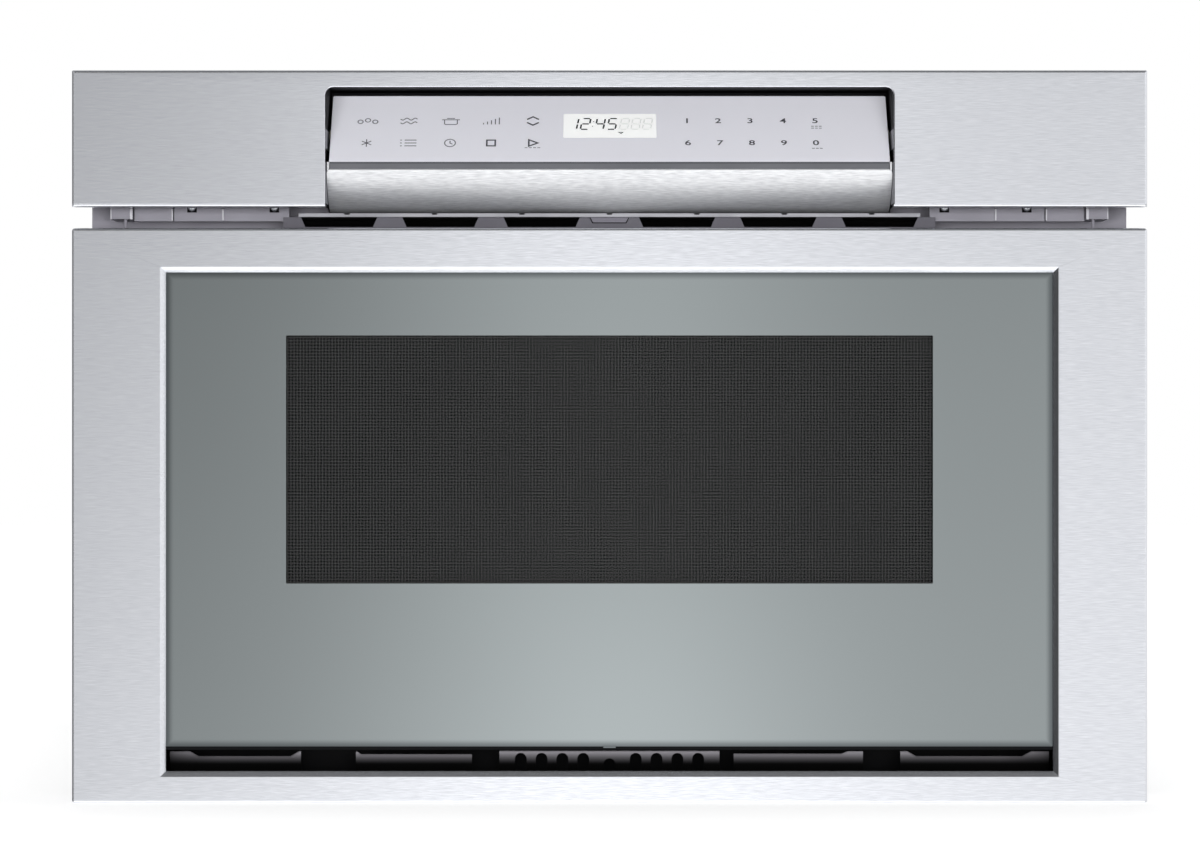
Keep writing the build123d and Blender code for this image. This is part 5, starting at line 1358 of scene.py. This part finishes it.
# ---- what shows in the gap under the fascia -------------------------------------------------------
@dataclass
class GapParts:
    """The screws, the bracket edges' painted highlights, the duct's painted shade, and the grey plates at the
    panel's ends.
    """

    screw_x: tuple[float, ...] = (-238.5, -191.4, 191.4, 238.5)
    screw_z: float = 324.4
    screw_face: float = -318.5
    screw_seat: float = -316.7
    screw_radius: float = 2.35
    screw_eye: float = 0.02       # the share of that where the middle cap starts
    screw_deep: float = 0.4       # how far the head goes on behind its seat
    recess_depth: float = 0.9     # the cross in each head; its arms' half width and reach, with their slopes
    recess_half: tuple[float, float] = (0.42, 0.15)
    recess_reach: tuple[float, float] = (1.75, 0.3)
    shade_half: float = 2.75       # painted shade: a dark patch round each head
    shade_rows: tuple[float, float] = (321.5, 327.5)
    shade_depths: tuple[float, float] = (-316.85, -316.5)
    # left edge, right edge, lower edge, upper edge and front of each bent edge's painted highlight
    edges: tuple = ((-284.5, -283.9, 317.3, 323.5, -321.7), (-273.4, -271.9, 317.3, 323.5, -321.8),
                    (-250.1, -249.3, 316.9, 323.5, -317.0), (-221.2, -220.3, 316.9, 323.5, -317.0))
    edge_deep: float = 0.6
    duct_half: float = 183.0
    # depths and heights of the duct's painted-shade roof, of the lip in front of it and of the wall at its
    # back
    lining: tuple = (((-319.0, -290.0), (318.2, 318.5)), ((-290.2, -289.8), (315.5, 318.5)),
                     ((-264.0, -263.6), (296.0, 323.0)))
    # depths and heights of the two thin plates at either end of the recess
    plates: tuple = (((-347.8, -320.0), (356.0, 367.0)), ((-347.8, -330.0), (325.0, 348.0)))
    plate_x: tuple[float, float] = (159.8, 160.15)
    thin_edge: float = 0.15
    duct_shade_edge: float = 0.1
    plate_edge: float = 0.12
    tab_halves: tuple[float, float] = (9.3, 10.8)     # the grille's middle tab: half widths at foot and top
    tab_rows: tuple[float, float] = (315.6, 318.3)
    tab_back: float = -320.5
    # name, how much larger than the tab, its front and its finish
    # first a black outline behind the tab: painted shade in the gap round it
    tab_layers: tuple = (("grille_tab_gap_shade", 0.45, -321.3, BLACK_PAINT_AND_SHADE),
                         # then the tab itself, in a grey darkened as painted shade
                         ("grille_middle_tab", 0.0, -321.6, TAB_GREY_SHADED))

    def screw(self, x: float) -> Shell:
        """A pan head with a cross recess: its height over the disc is a dome less a cross-shaped dip.

        Args:
            x: Where it is.

        Returns:
            The closed surface.
        """
        radii = np.linspace(self.screw_eye, 1, 15)[:, None] * self.screw_radius
        turn = np.linspace(0, 2 * math.pi, 49)[None, :-1]
        across, up = radii * np.cos(turn), radii * np.sin(turn)
        round_off = np.sqrt(np.clip(1 - (radii / self.screw_radius) ** 4, 0, 1))
        dome = (self.screw_seat - self.screw_face) * round_off
        narrow, wide = np.minimum(abs(across), abs(up)), np.maximum(abs(across), abs(up))
        (half, half_slope), (reach, reach_slope) = self.recess_half, self.recess_reach
        dip = self.recess_depth * np.clip((half - narrow) / half_slope, 0, 1)
        dip = dip * np.clip((reach - wide) / reach_slope, 0, 1)
        height = dome + 0 * turn - dip
        points = np.stack([across + x, self.screw_seat - height, up + self.screw_z], -1) * MM
        rings = [np.array(row) for row in points]
        seat = np.array([0, (self.screw_seat + self.screw_deep) * MM, 0])
        rings.append(rings[-1] * np.array([1, 0, 1]) + seat)
        return skin(rings)

    def build(self) -> None:
        """Builds the screws with painted shade round them, the painted edge highlights, the duct's painted
        shade, the plates and the tab with its painted gap shade.
        """
        make_piece("chassis_screw_heads", [self.screw(x) for x in self.screw_x], SCREW_STEEL, "root",
                   ("chassis_screws",), crease=40.0)
        # painted shade: a dark patch behind each screw head
        screw_shades = [soft_block((x - self.shade_half, x + self.shade_half), self.shade_depths, self.shade_rows,
                            self.thin_edge) for x in self.screw_x]
        make_piece("screw_painted_shade", screw_shades, BLACK_PAINT_AND_SHADE, "root")
        # pale strips on the bent edges: painted highlights
        bright = [soft_block((left, right), (front, front + self.edge_deep), (low, high), self.thin_edge)
                  for left, right, low, high, front in self.edges]
        bright += [shell.mirrored() for shell in bright]
        make_piece("bracket_bent_edges", bright, EDGE_PAINTED_HIGHLIGHT, "root")
        # near-black painted shade inside the duct behind the grille
        lining = [soft_block((-self.duct_half, self.duct_half), depths, rows, self.duct_shade_edge)
                  for depths, rows in self.lining]
        make_piece("exhaust_duct_painted_shade", lining, DUCT_PAINTED_SHADE, "root")
        plates = [soft_block(self.plate_x, depths, rows, self.plate_edge) for depths, rows in self.plates]
        plates += [plate.mirrored() for plate in plates]
        make_piece("recess_side_plates", plates, LINER_GREY, "root")
        for name, grow, front, finish in self.tab_layers:
            foot, top = (half + grow for half in self.tab_halves)
            low, high = self.tab_rows[0] - grow, self.tab_rows[1]
            outline = np.array([(-foot, low), (foot, low), (top, high), (-top, high)]) * MM
            tab = prism(outline, (front * MM, self.tab_back * MM), Plane.FRONT)
            make_piece(name, [tab], finish, "root")


# ---- the stage ----------------------------------------------------------------------------------
@dataclass
class Studio:
    """The floor, the light all round, the lamps and the camera of the photograph."""

    floor_z: float = -0.0132
    floor_half: float = 6.0
    floor_corner: float = 1.0
    floor_colour: str = "#EFEFEF"
    fill: tuple[float, float] = (0.66, 0.95)          # the floor's own light to the camera, near and far
    fill_reach: tuple[float, float] = (0.5, 2.4)
    sensor: float = 36.0
    far: float = 60.0
    ambient: float = 0.10         # light from all round on matt surfaces
    level: float = 0.94           # what polished surfaces mirror straight in front
    slope: tuple[float, float, float] = (1.6, 0.0, -2.3)
    limits: tuple[float, float] = (0.08, 1.27)
    # what steep directions add to that: down and up, each with the z where it starts and is full
    steep: tuple = ((-0.3, -1.0, 0.69), (0.25, 0.7, 0.15))
    sides: float = 0.36           # what low directions far to the sides lose of it
    side_reach: tuple[float, float] = (0.3, 0.55)
    side_top: tuple[float, float] = (-0.28, -0.1)
    behind: float = 0.85          # what is mirrored from behind the object
    behind_reach: tuple[float, float] = (0.05, 0.5)
    band: tuple[float, float] = (0.88, 0.58)          # a tall soft box behind the camera, low and high up
    band_reach: tuple[float, float] = (-0.078, -0.02)
    band_width: float = 0.055
    band_nearest: float = -0.8
    strip: float = 0.85           # a narrow one far to the left, which lights the left folds
    strip_place: float = -0.52
    strip_width: float = 0.17
    strip_nearest: float = -0.4
    strip_foot: tuple[float, float] = (-0.3, -0.15)   # it fades out between these heights
    # name, place, width and height, and watts
    lamps: tuple = (("front_lamp", (0.0, -3.6, 0.32), (2.4, 0.6), 98.0),
                    ("top_lamp", (0.0, 0.0, 2.4), (1.2, 1.2), 20.0))
    lamp_aim: tuple[float, float, float] = (0.0, -0.1, 0.2)

    def build_camera(self) -> None:
        """Stands the camera straight in front, with the lens that gives the front plane its known scale."""
        camera = bpy.data.objects.new("camera", bpy.data.cameras.new("camera"))
        bpy.context.scene.collection.objects.link(camera)
        camera.location = tuple(PHOTO.eye * MM)
        camera.rotation_euler = (math.pi / 2, 0, 0)
        camera.data.sensor_width = self.sensor
        camera.data.lens = self.sensor * PHOTO.distance / (PHOTO.width * PHOTO.mm_per_px)
        camera.data.clip_end = self.far
        bpy.context.scene.camera = camera

    def build_floor(self) -> None:
        """Lays a white floor that stays white to the camera and in reflections, and still takes a shadow."""
        half = self.floor_half
        outline = lay(rounded_outline((-half, -half), (half, half), self.floor_corner), self.floor_z,
                      Plane.TOP)
        mesh = bpy.data.meshes.new("floor")
        mesh.from_pydata(outline.tolist(), [], [list(range(len(outline)))])
        floor = bpy.data.objects.new("floor", mesh)
        bpy.context.scene.collection.objects.link(floor)
        material = bpy.data.materials.new("pale_floor")
        material.use_nodes = True
        tree = material.node_tree
        tree.nodes.clear()
        path = add_node(tree, "ShaderNodeLightPath")
        place = add_node(tree, "ShaderNodeTexCoord")
        reach = add_node(tree, "ShaderNodeVectorMath", {"operation": "LENGTH"}, {0: place.outputs["Object"]})
        fill = add_node(tree, "ShaderNodeMapRange",
                        {"From Min": self.fill_reach[0], "From Max": self.fill_reach[1],
                         "To Min": self.fill[0], "To Max": self.fill[1]}, {"Value": reach.outputs["Value"]})
        strength = add_node(tree, "ShaderNodeMath", {"operation": "MULTIPLY"},
                            {0: path.outputs["Is Camera Ray"], 1: fill.outputs["Result"]})
        matt = add_node(tree, "ShaderNodeBsdfDiffuse", {"Color": linear(self.floor_colour)})
        glow = add_node(tree, "ShaderNodeEmission", {"Color": (1.0, 1.0, 1.0, 1.0)},
                        {"Strength": strength.outputs["Value"]})
        both = add_node(tree, "ShaderNodeAddShader",
                        links={0: matt.outputs["BSDF"], 1: glow.outputs["Emission"]})
        add_node(tree, "ShaderNodeOutputMaterial", links={"Surface": both.outputs["Shader"]})
        mesh.materials.append(material)
        floor.visible_glossy = False      # polished parts mirror the world's lower half, which has no horizon

    def build_world(self) -> None:
        """Surrounds the object with white light; polished parts mirror a slope of it and two soft boxes.

        What they mirror in direction (x, y, z) is level + slope . direction, kept within limits. Steep
        directions and two upright soft boxes add their own shares. It is dimmer low at the sides, and
        directions that lead behind the object fade to an even brightness.
        """
        world = bpy.data.worlds.new("studio")
        bpy.context.scene.world = world
        world.use_nodes = True
        tree = world.node_tree
        tree.nodes.clear()
        place = add_node(tree, "ShaderNodeTexCoord")
        lean = add_node(tree, "ShaderNodeVectorMath", {"operation": "DOT_PRODUCT", 1: self.slope},
                        {0: place.outputs["Generated"]})
        raised = add_node(tree, "ShaderNodeMath", {"operation": "ADD", 1: self.level},
                          {0: lean.outputs["Value"]})
        kept = add_node(tree, "ShaderNodeClamp", {"Min": self.limits[0], "Max": self.limits[1]},
                        {"Value": raised.outputs["Value"]})
        apart = add_node(tree, "ShaderNodeSeparateXYZ", links={"Vector": place.outputs["Generated"]})
        back = add_node(tree, "ShaderNodeMapRange",
                        {"interpolation_type": "SMOOTHSTEP", "From Min": self.behind_reach[0],
                         "From Max": self.behind_reach[1]}, {"Value": apart.outputs["Y"]})
        shares = [add_node(tree, "ShaderNodeMapRange",
                           {"From Min": start, "From Max": end, "To Max": share},
                           {"Value": apart.outputs["Z"]}) for start, end, share in self.steep]
        steep = add_node(tree, "ShaderNodeMath", {"operation": "ADD"},
                         {0: shares[0].outputs["Result"], 1: shares[1].outputs["Result"]})
        total = add_node(tree, "ShaderNodeMath", {"operation": "ADD"},
                         {0: kept.outputs["Result"], 1: steep.outputs["Value"]})
        side = add_node(tree, "ShaderNodeMath", {"operation": "ABSOLUTE"}, {0: apart.outputs["X"]})
        dim = add_node(tree, "ShaderNodeMapRange",
                       {"interpolation_type": "SMOOTHSTEP", "From Min": self.side_reach[0],
                        "From Max": self.side_reach[1], "To Max": self.sides},
                       {"Value": side.outputs["Value"]})
        low = add_node(tree, "ShaderNodeMapRange",
                       {"From Min": self.side_top[0], "From Max": self.side_top[1], "To Min": 1.0,
                        "To Max": 0.0}, {"Value": apart.outputs["Z"]})
        loss = add_node(tree, "ShaderNodeMath", {"operation": "MULTIPLY"},
                        {0: dim.outputs["Result"], 1: low.outputs["Result"]})
        rest = add_node(tree, "ShaderNodeMath", {"operation": "SUBTRACT", 0: 1.0}, {1: loss.outputs["Value"]})
        dimmed = add_node(tree, "ShaderNodeMath", {"operation": "MULTIPLY"},
                          {0: total.outputs["Value"], 1: rest.outputs["Value"]})
        even = add_node(tree, "ShaderNodeMix", {"data_type": "FLOAT", 3: self.behind},
                        {0: back.outputs["Result"], 2: dimmed.outputs["Value"]})
        power = add_node(tree, "ShaderNodeMapRange",
                         {"From Min": self.band_reach[0], "From Max": self.band_reach[1],
                          "To Min": self.band[0], "To Max": self.band[1]}, {"Value": apart.outputs["Z"]})
        band = self.soft_box(tree, apart, 0.0, self.band_width, self.band_nearest)
        strip = self.soft_box(tree, apart, self.strip_place, self.strip_width, self.strip_nearest)
        foot = add_node(tree, "ShaderNodeMapRange",
                        {"From Min": self.strip_foot[0], "From Max": self.strip_foot[1],
                         "To Max": self.strip}, {"Value": apart.outputs["Z"]})
        lined = add_node(tree, "ShaderNodeMath", {"operation": "MULTIPLY_ADD"},
                         {0: strip, 1: foot.outputs["Result"], 2: even.outputs[0]})
        mirrored = add_node(tree, "ShaderNodeMath", {"operation": "MULTIPLY_ADD"},
                            {0: band, 1: power.outputs["Result"], 2: lined.outputs["Value"]})
        path = add_node(tree, "ShaderNodeLightPath")
        lit = add_node(tree, "ShaderNodeMix", {"data_type": "FLOAT", 2: self.ambient},
                       {0: path.outputs["Is Glossy Ray"], 3: mirrored.outputs["Value"]})
        seen = add_node(tree, "ShaderNodeMix", {"data_type": "FLOAT", 3: 1.0},
                        {0: path.outputs["Is Camera Ray"], 2: lit.outputs[0]})
        light = add_node(tree, "ShaderNodeBackground", {"Color": (1.0, 1.0, 1.0, 1.0)},
                         {"Strength": seen.outputs[0]})
        add_node(tree, "ShaderNodeOutputWorld", links={"Surface": light.outputs["Background"]})

    def soft_box(self, tree: bpy.types.NodeTree, apart: bpy.types.Node, middle: float, width: float,
                 nearest: float) -> bpy.types.NodeSocket:
        """An upright soft box to mirror: exp(-((x - middle) / width) ** 2) where y is below a limit.

        Args:
            tree: The world's tree.
            apart: The node that gives a direction's x, y and z.
            middle: The x of its middle.
            width: How far from there it has faded to a third.
            nearest: The y past which it doesn't shine.

        Returns:
            Its share, up to 1.
        """
        off = add_node(tree, "ShaderNodeMath", {"operation": "SUBTRACT", 1: middle}, {0: apart.outputs["X"]})
        scaled = add_node(tree, "ShaderNodeMath", {"operation": "DIVIDE", 1: width},
                          {0: off.outputs["Value"]})
        far = add_node(tree, "ShaderNodeMath", {"operation": "MULTIPLY"},
                       {0: scaled.outputs["Value"], 1: scaled.outputs["Value"]})
        fade = add_node(tree, "ShaderNodeMath", {"operation": "POWER", 0: math.exp(-1)},
                        {1: far.outputs["Value"]})
        ahead = add_node(tree, "ShaderNodeMath", {"operation": "LESS_THAN", 1: nearest},
                         {0: apart.outputs["Y"]})
        both = add_node(tree, "ShaderNodeMath", {"operation": "MULTIPLY"},
                        {0: fade.outputs["Value"], 1: ahead.outputs["Value"]})
        return both.outputs["Value"]

    def build_lamp(self, name: str, place: tuple[float, float, float], size: tuple[float, float],
                   power: float) -> None:
        """Hangs one soft lamp that looks at the front of the object; polished parts mirror the world alone.

        Args:
            name: Its name.
            place: Where it hangs.
            size: Its width and height.
            power: Its power in watts.
        """
        lamp = bpy.data.objects.new(name, bpy.data.lights.new(name, "AREA"))
        bpy.context.scene.collection.objects.link(lamp)
        lamp.data.shape, lamp.data.energy = "RECTANGLE", power
        lamp.data.size, lamp.data.size_y = size
        lamp.location = place
        lamp.visible_glossy = False
        aim = np.array(self.lamp_aim) - np.array(place)
        lamp.rotation_euler = (math.atan2(math.hypot(aim[0], aim[1]), -aim[2]), 0,
                               math.atan2(aim[1], aim[0]) - math.pi / 2)

    def build(self) -> None:
        """Builds the stage."""
        self.build_floor()
        self.build_world()
        for lamp in self.lamps:
            self.build_lamp(*lamp)
        self.build_camera()
        bpy.context.scene.view_settings.view_transform = "Standard"


def dress_frame() -> None:
    """Gives every carried-over node of the frame its own finish, or that of its material slot."""
    for name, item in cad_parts.items():
        for place in item.material_slots:
            place.material = FINISH_OF_NODE.get(name, FINISH_OF_SLOT[place.name.split(".")[0]]).material()


def main() -> None:
    """Builds the scene piece by piece."""
    logging.basicConfig(level=logging.INFO, format="%(message)s")
    dress_frame()
    for part in (Fascia(), DoorFront(), AirInlet(), KeyPanel(), GapParts(), Studio()):
        log.info("building %s", type(part).__name__)
        part.build()


if __name__ == "__main__":
    main()
